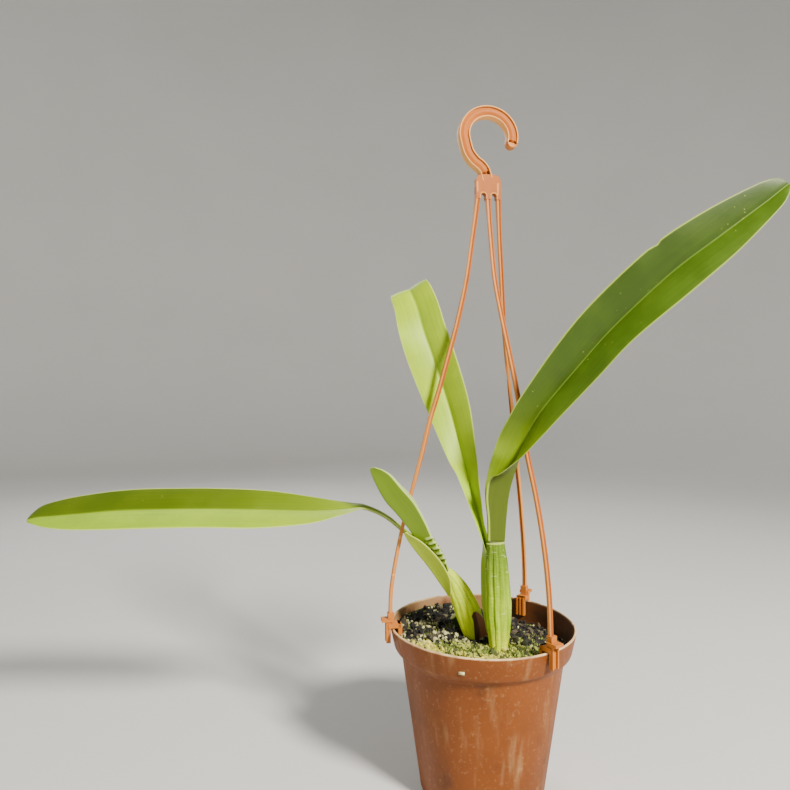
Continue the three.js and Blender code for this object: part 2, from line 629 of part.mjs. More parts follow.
// The side of a leg lies along the plate at its top and along the rim at its foot
const LEG_ROUTES = {
  left: [
    [-2.85, -1.46, 392], [-2.95, -1.46, 380.9], [-6.3, -1.6, 354.4], [-10.2, -3.2, 328],
    [-15.9, -4.6, 301.8], [-21.1, -5.8, 282.3], [-28.3, -7.2, 256.5], [-34.2, -8.2, 237.3],
    [-39.6, -9, 214.9], [-46, -9.8, 191.3], [-51.2, -10.2, 171.6], [-54.6, -10.4, 155.7],
    [-57.6, -10.5, 139.1], [-59.2, -10.6, 126], [-59.6, -10.6, 113],
  ],
  front: [
    [4, 0, 392], [4.15, -0.1, 380.9], [5.7, -3.5, 353.9], [7.6, -8, 327.1], [11.4, -14, 300.7],
    [15.6, -20, 275.1], [18.9, -25.5, 252.1], [22.9, -32.5, 218.9], [26.6, -38, 196.2],
    [29.5, -42, 175.3], [31.5, -46, 154.3], [32.7, -48.8, 133.4], [33.2, -49.6, 113],
  ],
  back: [
    [10.85, 1.46, 392], [11.1, 1.5, 380.9], [12.5, 4.2, 355.7], [14.6, 9, 330.2], [16.9, 15, 304.1],
    [18.9, 19, 288.2], [21.4, 24, 270.6], [24, 28, 251.9], [30.2, 37, 203.5], [33.2, 41, 179.3],
    [36.2, 45, 148.2], [37.5, 47, 128], [37.8, 47.6, 113],
  ],
};

function makeLeg(name) {
  const route = LEG_ROUTES[name];
  const angle = radians(CLIP_ANGLES[name]);
  const outwards = Math.sign(Math.cos(angle));
  const rimSide = [-Math.sin(angle) * outwards, Math.cos(angle) * outwards];
  const plateSide = [Math.cos(radians(HOOK_TURN)), Math.sin(radians(HOOK_TURN))];
  const rows = route.map((point, i) => {
    const turn = THREE.MathUtils.smoothstep(i / (route.length - 1), 0.15, 0.9);
    const side = plateSide.map((value, k) => value + (rimSide[k] - value) * turn);
    return [...point, ...side, 0];
  });
  return sweep(rows, bothFaces(legSection), 16);
}

// Clip sizes across the rim, outwards positive, from the outer edge of the lip, and upwards
// from the lip
const CLIP_HALF_WIDTH = 3.2;
const CLIP_INNER = -5.8;
const CLIP_OUTER = 2.2;
const CLIP_THICKNESS = 1.6;
const CLIP_FLANGE_REACH = 6.2;
const CLIP_FLANGE_TOP = 6.2;
const CLIP_BRIDGE_TOP = 3.2;
const CLIP_FOOT_TOP = 9.6;
const CLIP_DROP_OUTSIDE = -9;
const CLIP_DROP_INSIDE = -10;

function clipBoxes(grow) {
  const half = CLIP_HALF_WIDTH;
  const tabHalf = 2.6;
  const tabRailWidth = 1.1;
  const footHalf = 2.2;
  const ribSpacing = 2.5;
  const ribHalf = 0.5;
  const inner = CLIP_INNER;
  const outer = CLIP_OUTER;
  const bridge = [[inner, -half, 0.4], [outer, half, CLIP_BRIDGE_TOP]];
  const innerTab = [[inner, -half, CLIP_DROP_INSIDE], [inner + CLIP_THICKNESS, half, CLIP_BRIDGE_TOP]];
  const outerTab = [
    [outer - CLIP_THICKNESS, -tabHalf, CLIP_DROP_OUTSIDE],
    [outer, tabHalf, CLIP_FLANGE_TOP],
  ];
  const flange = [[-0.8, -half, CLIP_FLANGE_TOP - 1.8], [CLIP_FLANGE_REACH, half, CLIP_FLANGE_TOP]];
  const legFoot = [[-1.6, -footHalf, 2], [outer, footHalf, CLIP_FOOT_TOP]];
  const boxes = [bridge, innerTab, outerTab, flange, legFoot];
  for (const start of [-tabHalf, tabHalf - tabRailWidth]) {
    boxes.push([[outer - 0.2, start, CLIP_DROP_OUTSIDE], [outer + 1.3, start + tabRailWidth, 5]]);
  }
  for (const middle of [-ribSpacing, 0, ribSpacing]) {
    const low = [inner - 0.9, middle - ribHalf, CLIP_DROP_INSIDE];
    const high = [inner + 0.2, middle + ribHalf, CLIP_BRIDGE_TOP - 1];
    boxes.push([low, high]);
  }
  return boxes.map(([low, high]) => boxBetween(
    low.map((value) => value - grow),
    high.map((value) => value + grow),
  ));
}

function makeClip(name, grow = 0) {
  const angle = radians(CLIP_ANGLES[name]);
  const parts = clipBoxes(grow).map((box) => {
    box.translate(RIM_RADIUS, 0, POT_HEIGHT);
    box.rotateZ(angle);
    return toSolid(box);
  });
  return parts.reduce((whole, part) => whole.add(part));
}

function makeHanger() {
  let top = makeHook().add(makePlate());
  top = top.translate(-PLATE_CENTRE_X, 0, 0).rotate(0, 0, HOOK_TURN).translate(PLATE_CENTRE_X, 0, 0);
  let hanger = top;
  for (const name of Object.keys(CLIP_ANGLES)) {
    hanger = hanger.add(makeLeg(name)).add(makeClip(name));
  }
  return mainBody(hanger);
}

// The pleats at the foot of the short leaf
function pleats(t, share) {
  const pleatStart = 0.04;
  const pleatEnd = 0.34;
  const pleatCount = 5;
  if (t < pleatStart || t > pleatEnd) {
    return 0;
  }
  const along = (t - pleatStart) / (pleatEnd - pleatStart);
  return 0.8 * Math.abs(share) * Math.sin(2 * Math.PI * pleatCount * along) * Math.sin(Math.PI * along);
}

const bulbShape = { steps: 14, sides: 22, ribs: 11, ribDepth: 0.07 };
const plainBulb = { steps: 7, sides: 10, ribs: 5, ribDepth: 0.08 };

const stemRoom = makeRhizome(GAP);
const bulbA = mainBody(bulb(BULB_A, bulbShape).subtract(stemRoom));
const bulbB = mainBody(bulb(BULB_B, bulbShape).subtract(stemRoom));
const backBulb = mainBody(bulb(BACK_BULB, plainBulb).subtract(stemRoom));
const bulbARoom = bulb(BULB_A, { ...bulbShape, ribDepth: 0, grow: GAP });
const bulbBRoom = bulb(BULB_B, { ...bulbShape, ribDepth: 0, grow: GAP });
const backBulbRoom = bulb(BACK_BULB, { ...plainBulb, ribDepth: 0, grow: GAP });

const leafRight = strip(LEAF_RIGHT, 30);
const leafUpright = mainBody(
  strip(LEAF_UPRIGHT, 34).subtract(bulbARoom).subtract(strip(LEAF_RIGHT, 30, GAP)),
);
const leafLong = mainBody(strip(LEAF_LONG, 32).subtract(bulbBRoom));
const leafShort = mainBody(
  strip(LEAF_SHORT, 30, 0, pleats).subtract(bulbBRoom).subtract(strip(LEAF_LONG, 32, GAP)),
);
const bractGreen = mainBody(
  strip(BRACT_GREEN, 14)
    .subtract(bulbBRoom)
    .subtract(strip(LEAF_LONG, 32, GAP))
    .subtract(strip(LEAF_SHORT, 30, GAP, pleats)),
);
const bractBrown = mainBody(strip(BRACT_BROWN, 8).subtract(bulbBRoom).subtract(bulbARoom));
const mix = makeMix([
  stemRoom,
  bulbARoom,
  bulbBRoom,
  backBulbRoom,
  strip(BRACT_BROWN, 8, GAP),
  ...Object.keys(CLIP_ANGLES).map((name) => makeClip(name, GAP)),
]);

const finish = (color, roughness) => new THREE.MeshStandardMaterial({ color, roughness, metalness: 0 });
const leafGreen = finish(0x5b8f1e, 0.4);

const orchid = new THREE.Group();
function addPiece(name, solid, material) {
  const mesh = new THREE.Mesh(toGeometry(solid), material);
  mesh.name = name;
  orchid.add(mesh);
}

addPiece('pot', makePot(), finish(0x8a4a35, 0.5));
addPiece('potting_mix', mix, finish(0x2b241c, 0.95));
addPiece('hanger', makeHanger(), finish(0xc0704a, 0.45));
addPiece('rhizome', makeRhizome(0), finish(0xa8a07a, 0.8));
addPiece('bulb_a', bulbA, finish(0x8db33a, 0.45));
addPiece('leaf_right', leafRight, leafGreen);
addPiece('leaf_upright', leafUpright, leafGreen);
addPiece('bulb_b', bulbB, finish(0xb7c832, 0.45));
addPiece('leaf_long', leafLong, leafGreen);
addPiece('leaf_short', leafShort, finish(0x7d9c5a, 0.45));
addPiece('bract_green', bractGreen, finish(0x9dbb4a, 0.5));
addPiece('bract_brown', bractBrown, finish(0x7a4a33, 0.8));
addPiece('back_bulb', backBulb, finish(0x24381a, 0.6));

export default orchid;
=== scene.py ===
# The looks of the potted orchid: finer leaves, bulbs, mix, pot and hanger in the forms of the
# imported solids, with their veins, grains, moss, wear and colour, on a plain pale floor.
#
# Shapes are worked out in millimetres in the row frame and scaled to metres when a mesh is made.

import bmesh
import bpy
import numpy as np
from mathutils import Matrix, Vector


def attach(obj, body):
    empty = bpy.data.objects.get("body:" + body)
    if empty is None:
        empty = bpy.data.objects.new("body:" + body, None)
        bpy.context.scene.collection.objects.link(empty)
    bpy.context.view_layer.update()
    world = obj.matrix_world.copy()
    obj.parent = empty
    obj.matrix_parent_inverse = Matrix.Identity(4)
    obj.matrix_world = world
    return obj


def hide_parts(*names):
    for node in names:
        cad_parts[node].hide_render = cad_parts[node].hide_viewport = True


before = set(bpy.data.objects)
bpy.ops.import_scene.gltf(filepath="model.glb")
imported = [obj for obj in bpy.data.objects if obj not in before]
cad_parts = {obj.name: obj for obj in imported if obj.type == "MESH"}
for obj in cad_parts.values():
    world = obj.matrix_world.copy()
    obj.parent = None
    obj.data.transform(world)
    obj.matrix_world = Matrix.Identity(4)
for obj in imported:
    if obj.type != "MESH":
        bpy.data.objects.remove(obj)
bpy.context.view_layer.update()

MM = 0.001
random = np.random.default_rng(20517)


# Small tools for numbers and shapes


def smooth(value, low, high):
    share = np.clip((value - low) / (high - low), 0, 1)
    return share * share * (3 - 2 * share)


def unit(vectors):
    return vectors / np.linalg.norm(vectors, axis=-1, keepdims=True)


WAVE_OCTAVES, WAVES_IN_OCTAVE, WAVE_FALL, WAVE_SCALE = 4, 3, 1.7, 3.6


def wobble(*coordinates, seed):
    """A smooth pseudo-random value from about -1 to 1, of numbers that count in waves."""
    local = np.random.default_rng(seed)
    total = 0
    for octave in range(WAVE_OCTAVES):
        for _ in range(WAVES_IN_OCTAVE):
            phase = local.uniform(0, 2 * np.pi)
            for coordinate in coordinates:
                phase = phase + coordinate * local.uniform(-1, 1) * 2**octave
            total = total + np.sin(phase) / WAVE_FALL**octave
    return total / WAVE_SCALE


def row_at(rows, t):
    """Rows between the given rows, on a smooth curve through all of them."""
    rows = np.asarray(rows, float)
    last = len(rows) - 1
    i = np.minimum((t * last).astype(int), last - 1)
    f = (t * last - i)[:, None]
    start, end = rows[i], rows[i + 1]
    leave = (end - rows[np.maximum(i - 1, 0)]) / 2
    arrive = (rows[np.minimum(i + 2, last)] - start) / 2
    cubic = 2 * (start - end) + leave + arrive
    square = 3 * (end - start) - 2 * leave - arrive
    return start + f * (leave + f * (square + f * cubic))


def frames(rows, t):
    """Middle, direction, side and face of a strip at each t, and what else its rows hold."""
    row = row_at(rows, t)
    step = 0.002
    ahead = row_at(rows, np.minimum(t + step, 1))[:, :3]
    behind = row_at(rows, np.maximum(t - step, 0))[:, :3]
    along = unit(ahead - behind)
    side = row[:, 3:6]
    side = unit(side - along * np.sum(side * along, axis=1, keepdims=True))
    return row[:, :3], along, side, np.cross(along, side), row[:, 6:].T


def lengths(middle):
    """A column of how far along the curve each of its points is."""
    steps = np.linalg.norm(np.diff(middle, axis=0), axis=1)
    return np.concatenate([[0], np.cumsum(steps)])[:, None]


def full_turn(sides):
    return 2 * np.pi * np.arange(sides)[None, :] / sides


def stacked(*parts):
    """Points or vectors from arrays of their coordinates."""
    return np.stack(np.broadcast_arrays(*parts), axis=-1)


def ring_points(radius, height, angle):
    return stacked(radius * np.cos(angle), radius * np.sin(angle), height)


def swept(middle, *parts):
    """Loops of points round a curve, from pairs of a direction and how far to go along it."""
    points = middle[:, None, :]
    for direction, reach in parts:
        points = points + direction[:, None, :] * reach[..., None]
    return points


def ring_faces(rings, around):
    """Quads between closed rings of points, and one face over each end."""
    a = np.arange(rings - 1)[:, None] * around + np.arange(around)
    b = np.arange(rings - 1)[:, None] * around + (np.arange(around) + 1) % around
    quads = np.stack([a, b, b + around, a + around], axis=-1).reshape(-1, 4).tolist()
    start = list(range(around))
    end = [(rings - 1) * around + k for k in range(around)]
    return quads + [start[::-1], end]


def signed_volume(points, faces):
    by_size = {}
    for face in faces:
        by_size.setdefault(len(face), []).append(face)
    total = 0.0
    for size, group in by_size.items():
        corners = points[np.array(group)]
        for k in range(1, size - 1):
            total += np.sum(corners[:, 0] * np.cross(corners[:, k], corners[:, k + 1]))
    return total


def make_object(name, points, faces, material, layers=None, smooth_faces=True, outwards=True):
    """A mesh object from points in millimetres. A layer is one number, or three, for each point."""
    points = np.asarray(points, float).reshape(-1, 3)
    if outwards and signed_volume(points, faces) < 0:
        faces = [face[::-1] for face in faces]
    mesh = bpy.data.meshes.new(name)
    mesh.from_pydata((points * MM).tolist(), [], faces)
    for layer, values in (layers or {}).items():
        values = np.asarray(values, np.float32)
        kind = "FLOAT_VECTOR" if values.ndim == 2 else "FLOAT"
        attribute = mesh.attributes.new(layer, kind, "POINT")
        attribute.data.foreach_set("vector" if values.ndim == 2 else "value", values.ravel())
    mesh.polygons.foreach_set("use_smooth", [smooth_faces] * len(mesh.polygons))
    mesh.materials.append(material)
    made = bpy.data.objects.new(name, mesh)
    bpy.context.scene.collection.objects.link(made)
    return made


def place(made, slot, *nodes):
    """The object rides on the only body and stands for the nodes, which it hides. Its slot is not
    used.
    """
    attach(made, "root")
    if nodes:
        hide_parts(*nodes)
    return made


# Node materials


class Graph:
    """A material under construction. Every input is a socket or a plain value."""

    def __init__(self, name):
        self.material = bpy.data.materials.new(name)
        self.material.use_nodes = True
        self.tree = self.material.node_tree
        self.tree.nodes.clear()

    def node(self, kind, inputs=None, **settings):
        made = self.tree.nodes.new("ShaderNode" + kind)
        for key, value in settings.items():
            setattr(made, key, value)
        for key, value in (inputs or {}).items():
            if isinstance(value, bpy.types.NodeSocket):
                self.tree.links.new(value, made.inputs[key])
            else:
                made.inputs[key].default_value = value
        return made

    def position(self):
        return self.node("TexCoord").outputs["Object"]

    def layer(self, name, output="Fac"):
        return self.node("Attribute", attribute_name=name).outputs[output]

    def split(self, vector):
        return self.node("SeparateXYZ", {"Vector": vector}).outputs

    def join(self, x, y, z):
        return self.node("CombineXYZ", {"X": x, "Y": y, "Z": z}).outputs["Vector"]

    def math(self, operation, a, b=0.0, clamp=False):
        return self.node("Math", {0: a, 1: b}, operation=operation, use_clamp=clamp).outputs[0]

    def times(self, a, b, clamp=False):
        return self.math("MULTIPLY", a, b, clamp)

    def plus(self, a, b):
        return self.math("ADD", a, b)

    def less(self, a, b):
        return self.math("SUBTRACT", a, b)

    def stretch(self, vector, x, y, z):
        return self.node("Mapping", {"Vector": vector, "Scale": (x, y, z)}).outputs["Vector"]

    def noise(self, vector, scale, detail):
        inputs = {"Vector": vector, "Scale": scale, "Detail": detail, "Roughness": 0.55}
        return self.node("TexNoise", inputs).outputs["Fac"]

    def cells(self, vector, scale):
        return self.node("TexVoronoi", {"Vector": vector, "Scale": scale}).outputs["Distance"]

    def between(self, value, low, high, start=0.0, end=1.0):
        inputs = {0: value, 1: low, 2: high, 3: start, 4: end}
        return self.node("MapRange", inputs, interpolation_type="SMOOTHSTEP").outputs[0]

    def mix(self, factor, a, b, blend="MIX"):
        colours = {0: factor}
        for key, value in ((6, a), (7, b)):
            colours[key] = value if isinstance(value, bpy.types.NodeSocket) else (*value, 1.0)
        return self.node("Mix", colours, data_type="RGBA", blend_type=blend).outputs[2]

    def shaded(self, colour, shade):
        return self.mix(1.0, colour, self.join(shade, shade, shade), "MULTIPLY")

    def bump(self, height, distance, strength, normal=None):
        inputs = {"Height": height, "Distance": distance, "Strength": strength}
        if normal is not None:
            inputs["Normal"] = normal
        return self.node("Bump", inputs).outputs["Normal"]

    def finish(self, colour, roughness, normal=None, **more):
        inputs = {"Base Color": colour, "Roughness": roughness}
        if normal is not None:
            inputs["Normal"] = normal
        inputs.update({key.replace("_", " "): value for key, value in more.items()})
        shader = self.node("BsdfPrincipled", inputs)
        out = self.node("OutputMaterial")
        self.tree.links.new(shader.outputs[0], out.inputs[0])
        return self.material


# The colour of the painted shade in the creases of the pleats.
PLEAT_SHADE_COLOUR = (0.02, 0.035, 0.006)


def leaf_material(name, upper, deep, under, base, margin=(0.5, 0.62, 0.12), rib=(0.26, 0.42, 0.03),
                  half_tone_and_light=(1.0, 1.0)):
    """A leaf or sheath: upper and deep in clouds on its upper side, under below, base where it is
    young. The two factors for the halves make one side of its midrib lighter and the other darker:
    painted light and painted shade on a leaf, and on the dry scale partly its own colour and partly
    painted shade. The layer strip holds the share across, and the distances from the midrib and
    along it in millimetres. The layer face is 1 on the upper side, and the pleat layer is 1 in a
    crease, painted dark as painted shade, and -1 on a ridge, painted pale as a painted highlight."""
    g = Graph(name)
    strip = g.split(g.layer("strip", "Vector"))
    share, distance, along = strip["X"], strip["Y"], strip["Z"]
    reach = g.math("ABSOLUTE", share)
    where = g.position()
    veins = g.noise(g.join(g.times(distance, 1.5), g.times(along, 0.012), 0.0), 1.0, 3.0)
    fine = g.noise(g.join(g.times(distance, 4.0), g.times(along, 0.03), 5.0), 1.0, 2.0)
    cloud = g.noise(where, 45.0, 3.0)
    colour = g.mix(g.between(cloud, 0.35, 0.7), deep, upper)
    young = g.between(g.layer("young"), 0.0, 1.0)
    colour = g.mix(young, colour, base)
    colour = g.mix(g.between(g.layer("face"), -0.3, 0.3), under, colour)
    light = g.plus(g.times(veins, 0.5), g.times(fine, 0.3))
    # Painted light and painted shade: one half of the blade lighter, the other darker, faded out
    # where it is young.
    half = g.between(share, -0.06, 0.06, *half_tone_and_light)
    half = g.plus(half, g.times(young, g.less(1.0, half)))
    shade = g.times(g.between(light, 0.25, 0.55, 0.9, 1.1), half)
    colour = g.shaded(colour, shade)
    on_rib = g.between(g.math("ABSOLUTE", distance), 0.15, 0.5, 0.6, 0.0)
    colour = g.mix(on_rib, colour, rib)
    on_margin = g.between(reach, 0.94, 0.97)
    colour = g.mix(g.times(on_margin, 0.8), colour, margin)
    # Painted shade in the creases of the pleats, and a painted highlight in the margin colour on
    # their ridges.
    pleat_shade = g.layer("pleat_shade")
    colour = g.mix(g.times(g.math("MAXIMUM", pleat_shade, 0.0), 0.85), colour, PLEAT_SHADE_COLOUR)
    ridge = g.math("MAXIMUM", g.times(pleat_shade, -1.0), 0.0)
    colour = g.mix(g.times(ridge, 0.7), colour, margin)
    specks = g.cells(where, 260.0)
    rare = g.between(g.noise(where, 60.0, 1.0), 0.55, 0.62)
    speck = g.times(g.between(specks, 0.1, 0.06), rare)
    colour = g.mix(g.times(speck, 0.6), colour, margin)
    normal = g.bump(light, 0.0003, 0.32)
    normal = g.bump(g.noise(where, 900.0, 2.0), 0.00005, 0.3, normal)
    roughness = g.between(cloud, 0.3, 0.7, 0.42, 0.52)
    return g.finish(
        colour, roughness, normal, Specular_IOR_Level=0.28, Subsurface_Weight=0.1,
        Subsurface_Radius=(0.5, 0.9, 0.08), Subsurface_Scale=0.0015,
    )


BULB_RIM, BULB_SCAR = (0.6, 0.72, 0.14), (0.8, 0.9, 0.4)


def bulb_material(name, ground, stripe, foot, wrinkle, crown):
    """A pseudobulb with stripes and another colour at its foot, whose upper part is darkened by
    crown. wrinkle is how deep its creases look. The layer strip holds the angle round it, the
    height in millimetres and the share of its height."""
    g = Graph(name)
    strip = g.split(g.layer("strip", "Vector"))
    angle, height, share = strip["X"], strip["Y"], strip["Z"]
    where = g.position()
    round_it = g.join(g.times(angle, 7.0), g.times(height, 0.03), 0.0)
    stripes = g.noise(round_it, 1.0, 3.0)
    fine = g.noise(g.join(g.times(angle, 30.0), g.times(height, 0.08), 3.0), 1.0, 3.0)
    cloud = g.noise(where, 90.0, 4.0)
    colour = g.mix(g.between(stripes, 0.38, 0.62), ground, stripe)
    colour = g.mix(g.times(g.between(cloud, 0.45, 0.75), 0.45), colour, stripe)
    low = g.plus(share, g.times(g.noise(where, 160.0, 3.0), 0.16))
    colour = g.mix(g.between(low, 0.42, 0.16), colour, foot)
    high = g.plus(share, g.times(g.noise(round_it, 1.0, 2.0), 0.3))
    colour = g.mix(g.between(high, 0.55, 1.0), colour, g.mix(1.0, colour, crown, "MULTIPLY"))
    top = g.between(share, 0.965, 0.985)
    colour = g.mix(g.times(top, 0.6), colour, BULB_RIM)
    shade = g.between(fine, 0.3, 0.7, 0.86, 1.12)
    colour = g.shaded(colour, shade)
    scars = g.noise(g.stretch(where, 170.0, 170.0, 1100.0), 1.0, 2.0)
    scar = g.between(scars, 0.66, 0.72)
    colour = g.mix(g.times(scar, 0.45), colour, BULB_SCAR)
    creases = g.noise(g.stretch(where, 250.0, 250.0, 1100.0), 1.0, 3.0)
    normal = g.bump(creases, 0.0006, wrinkle)
    normal = g.bump(fine, 0.0004, 0.8, normal)
    return g.finish(
        colour, g.between(cloud, 0.3, 0.7, 0.36, 0.5), normal, Specular_IOR_Level=0.3,
        Subsurface_Weight=0.15, Subsurface_Radius=(0.8, 1.0, 0.1), Subsurface_Scale=0.0015,
    )


def plastic_material(name, body, wear_and_light, dirt_and_shade, wear, gloss):
    """Moulded plastic with dirt, fine scuffs and pale worn places. gloss is its least and most
    roughness. Two layers paint a place in the worn colour and in the dirt colour: the first is real
    wear and painted light, the second real dirt and painted shade."""
    g = Graph(name)
    where = g.position()
    broad = g.noise(where, 22.0, 4.0)
    grain = g.noise(where, 420.0, 3.0)
    streaks = g.noise(g.stretch(where, 130.0, 130.0, 14.0), 1.0, 4.0)
    colour = g.mix(g.between(broad, 0.3, 0.75), body, tuple(0.8 * c for c in body))
    colour = g.mix(g.times(g.between(streaks, 0.52, 0.78), wear), colour, wear_and_light)
    colour = g.mix(g.times(g.between(grain, 0.55, 0.8), wear), colour, wear_and_light)
    stain_and_shade = g.between(g.noise(where, 48.0, 5.0), 0.58, 0.78)
    colour = g.mix(g.times(stain_and_shade, 0.45), colour, dirt_and_shade)
    flecks = g.times(g.between(g.cells(where, 240.0), 0.09, 0.06), 0.6 * wear)
    colour = g.mix(g.times(flecks, 1.2, clamp=True), colour, wear_and_light)
    # The layers paint pale wear together with painted light, and dirt together with painted shade.
    colour = g.mix(g.layer("wear_and_light"), colour, wear_and_light)
    colour = g.mix(g.layer("stain_and_shade"), colour, dirt_and_shade)
    normal = g.bump(grain, 0.00008, 0.4)
    return g.finish(colour, g.between(streaks, 0.3, 0.7, *gloss), normal, Specular_IOR_Level=0.24)


def grain_material(name, dark, light, moss, roughness=0.9, moss_share=1.0):
    """Loose grains. The layer tone is one number for each grain, from dark to light, and green is
    how mossy its place is."""
    g = Graph(name)
    where = g.position()
    rough = g.noise(where, 700.0, 4.0)
    tone = g.layer("tone")
    colour = g.mix(tone, dark, light)
    shade = g.between(rough, 0.3, 0.7, 0.65, 1.3)
    colour = g.shaded(colour, shade)
    patch = g.noise(where, 260.0, 4.0)
    green = g.times(g.plus(g.layer("green"), g.less(patch, 0.5)), moss_share)
    colour = g.mix(g.between(green, 0.25, 0.8, 0.0, 0.85), colour, moss)
    return g.finish(colour, roughness, g.bump(rough, 0.0004, 0.8))


# Rows of the leaves, sheaths and bulbs, as in the solids but for the lower half of the short
# leaf. A strip's row is its middle point, the direction of its side, its two half widths, its
# fold and curl in degrees, and its thickness at the midrib and at the margins. A bulb's row is
# its middle point, the direction of its side, half its width and half its depth.

LEAF_RIGHT = [
    [7.9, -31, 164.6, 0, 1, 0, 8.4, 8.4, 76, 0, 2.4, 1.8],
    [8.8, -31, 177.6, 0, 1, 0, 9.6, 9.6, 76, 0, 2.4, 1.8],
    [10.2, -32, 192, 0, 1, 0, 12.6, 12.6, 75, 0, 2.3, 1.8],
    [12.4, -33.5, 202.5, -0.1, 0.99, 0, 13.6, 13.6, 72, 0, 2.2, 1.7],
    [16, -35.5, 213.2, -0.52, 0.83, 0.18, 13.2, 14.8, 57, 0, 2.2, 1.6],
    [19.2, -38, 223.1, -0.68, 0.68, 0.28, 12.9, 15.3, 45, 0, 2.1, 1.4],
    [23.5, -41, 233.7, -0.8, 0.47, 0.36, 12.9, 15.6, 40, 0, 2, 1.2],
    [30.3, -45, 246, -0.81, 0.31, 0.5, 13.6, 16.5, 35, 0, 1.9, 1.1],
    [48.8, -52, 270.1, -0.73, 0.29, 0.61, 15.1, 18.7, 30, 0, 1.8, 1.1],
    [67.5, -58, 292.5, -0.7, 0.34, 0.62, 16, 19.2, 28, 0, 1.8, 1],
    [96.1, -65, 320.7, -0.64, 0.26, 0.72, 17.1, 19, 24, 0, 1.7, 1],
    [120, -70, 339.5, -0.58, 0.28, 0.77, 14.5, 16.5, 22, 0, 1.6, 1],
    [142.5, -73.5, 356.6, -0.56, 0.34, 0.75, 9.2, 11.4, 22, 0, 1.5, 1],
    [150, -74.5, 362.7, -0.56, 0.34, 0.75, 5.8, 8.4, 20, 0, 1.4, 1],
    [155, -75, 366.8, -0.56, 0.34, 0.75, 1.6, 4, 12, 0, 1.2, 1],
]
LEAF_UPRIGHT = [
    [0.8, -29, 108, 0, -1, 0, 1.2, 1.2, 30, 0, 1.2, 1],
    [-0.8, -29.5, 116, -0.17, -0.98, 0, 4.5, 4.5, 44, 0, 1.3, 1],
    [-2.6, -29.5, 128, -0.2, -0.98, 0, 6.5, 6.5, 46, 0, 1.4, 1],
    [-2.9, -29, 140, -0.3, -0.95, 0, 6.5, 6.5, 48, 0, 1.5, 1.1],
    [-2.5, -27.5, 150, -0.6, -0.8, 0, 6, 6, 58, 0, 2, 1.4],
    [-1.9, -25.5, 160, -0.95, -0.3, 0, 6.3, 6.3, 70, 0, 2.4, 1.6],
    [-3.3, -24, 171.9, -0.98, 0.17, 0, 7.4, 6.8, 70, 0, 2.4, 1.6],
    [-6.4, -20.5, 184.7, -0.97, 0.24, 0, 9.4, 7, 60, 0, 2.3, 1.5],
    [-10.2, -15.5, 200, -0.98, 0.2, -0.1, 10.8, 8.4, 48, 0, 2.2, 1.3],
    [-13.4, -9, 213.6, -0.95, 0.25, -0.2, 12.6, 10.4, 34, 0, 2.1, 1.2],
    [-20.6, -0.4, 244.1, -0.92, 0.28, -0.25, 15.2, 14.6, 20, 0, 1.9, 1.1],
    [-30.5, 5.4, 276.1, -0.94, 0.18, -0.3, 15.5, 17.3, 17, 0, 1.8, 1],
    [-37.4, 9, 296.4, -0.93, 0.05, -0.35, 15.3, 17.1, 16, 0, 1.7, 1],
    [-41.6, 16, 312.8, -0.9, 0, -0.4, 14.8, 15.6, 12, 0, 1.7, 1],
    [-45.8, 27.5, 325.6, -0.88, 0.05, -0.42, 14, 14.6, 6, 0, 1.6, 1],
    [-46.6, 42, 328.4, -0.86, 0.1, -0.42, 12, 12.4, 5, 0, 1.5, 1],
    [-46.6, 56, 323.4, -0.86, 0.1, -0.42, 8.6, 8.6, 4, 0, 1.4, 1],
    [-46.6, 64, 318, -0.86, 0.1, -0.42, 2.4, 2.4, 0, 0, 1.2, 1],
]
LEAF_LONG = [
    [-25, -9, 143.2, 0.3, -1, 0, 3.2, 3.2, 40, 0, 2.4, 1.4],
    [-32.1, -6.5, 149.6, 0.15, -1, 0, 3.8, 3.8, 32, 0, 2.2, 1.3],
    [-37.2, -4, 154.2, 0.05, -1, 0, 4.2, 4.2, 20, 0, 1.8, 1.2],
    [-50.1, -2, 164.4, 0, -1, 0, 4.4, 4.4, 10, 0, 1.6, 1.1],
    [-63.1, -1.5, 174.4, 0, -1, 0, 5, 5, 8, 0, 1.5, 1],
    [-76.5, -1.5, 179.8, 0, -0.99, -0.1, 5.4, 5.2, 8, 0, 1.5, 1],
    [-87.3, -1.5, 179.2, 0, -0.95, -0.3, 7.3, 8.5, 8, 0, 1.6, 1],
    [-109.3, -1.5, 177.9, 0, -0.88, -0.48, 12, 15.2, 8, 0, 1.8, 1],
    [-141.8, -1, 178.4, 0, -0.84, -0.545, 16.3, 19.8, 8, 0, 1.8, 1],
    [-177.6, -0.5, 178.8, 0, -0.84, -0.545, 18, 20.3, 8, 0, 1.8, 1],
    [-214.8, 0, 178.3, 0, -0.84, -0.545, 18.5, 20.7, 8, 0, 1.7, 1],
    [-241.7, 0, 177.3, 0, -0.84, -0.545, 17.9, 20.2, 8, 0, 1.7, 1],
    [-262.9, 0, 175.5, 0, -0.84, -0.545, 16.5, 17.3, 8, 0, 1.6, 1],
    [-279.4, 0, 174.1, 0, -0.84, -0.545, 14.1, 12.6, 7, 0, 1.5, 1],
    [-291, 0, 173.2, 0, -0.84, -0.545, 10.2, 7, 5, 0, 1.3, 1],
    [-297.4, 0, 171.7, 0, -0.84, -0.545, 2.6, 2.4, 0, 0, 1.2, 1],
]
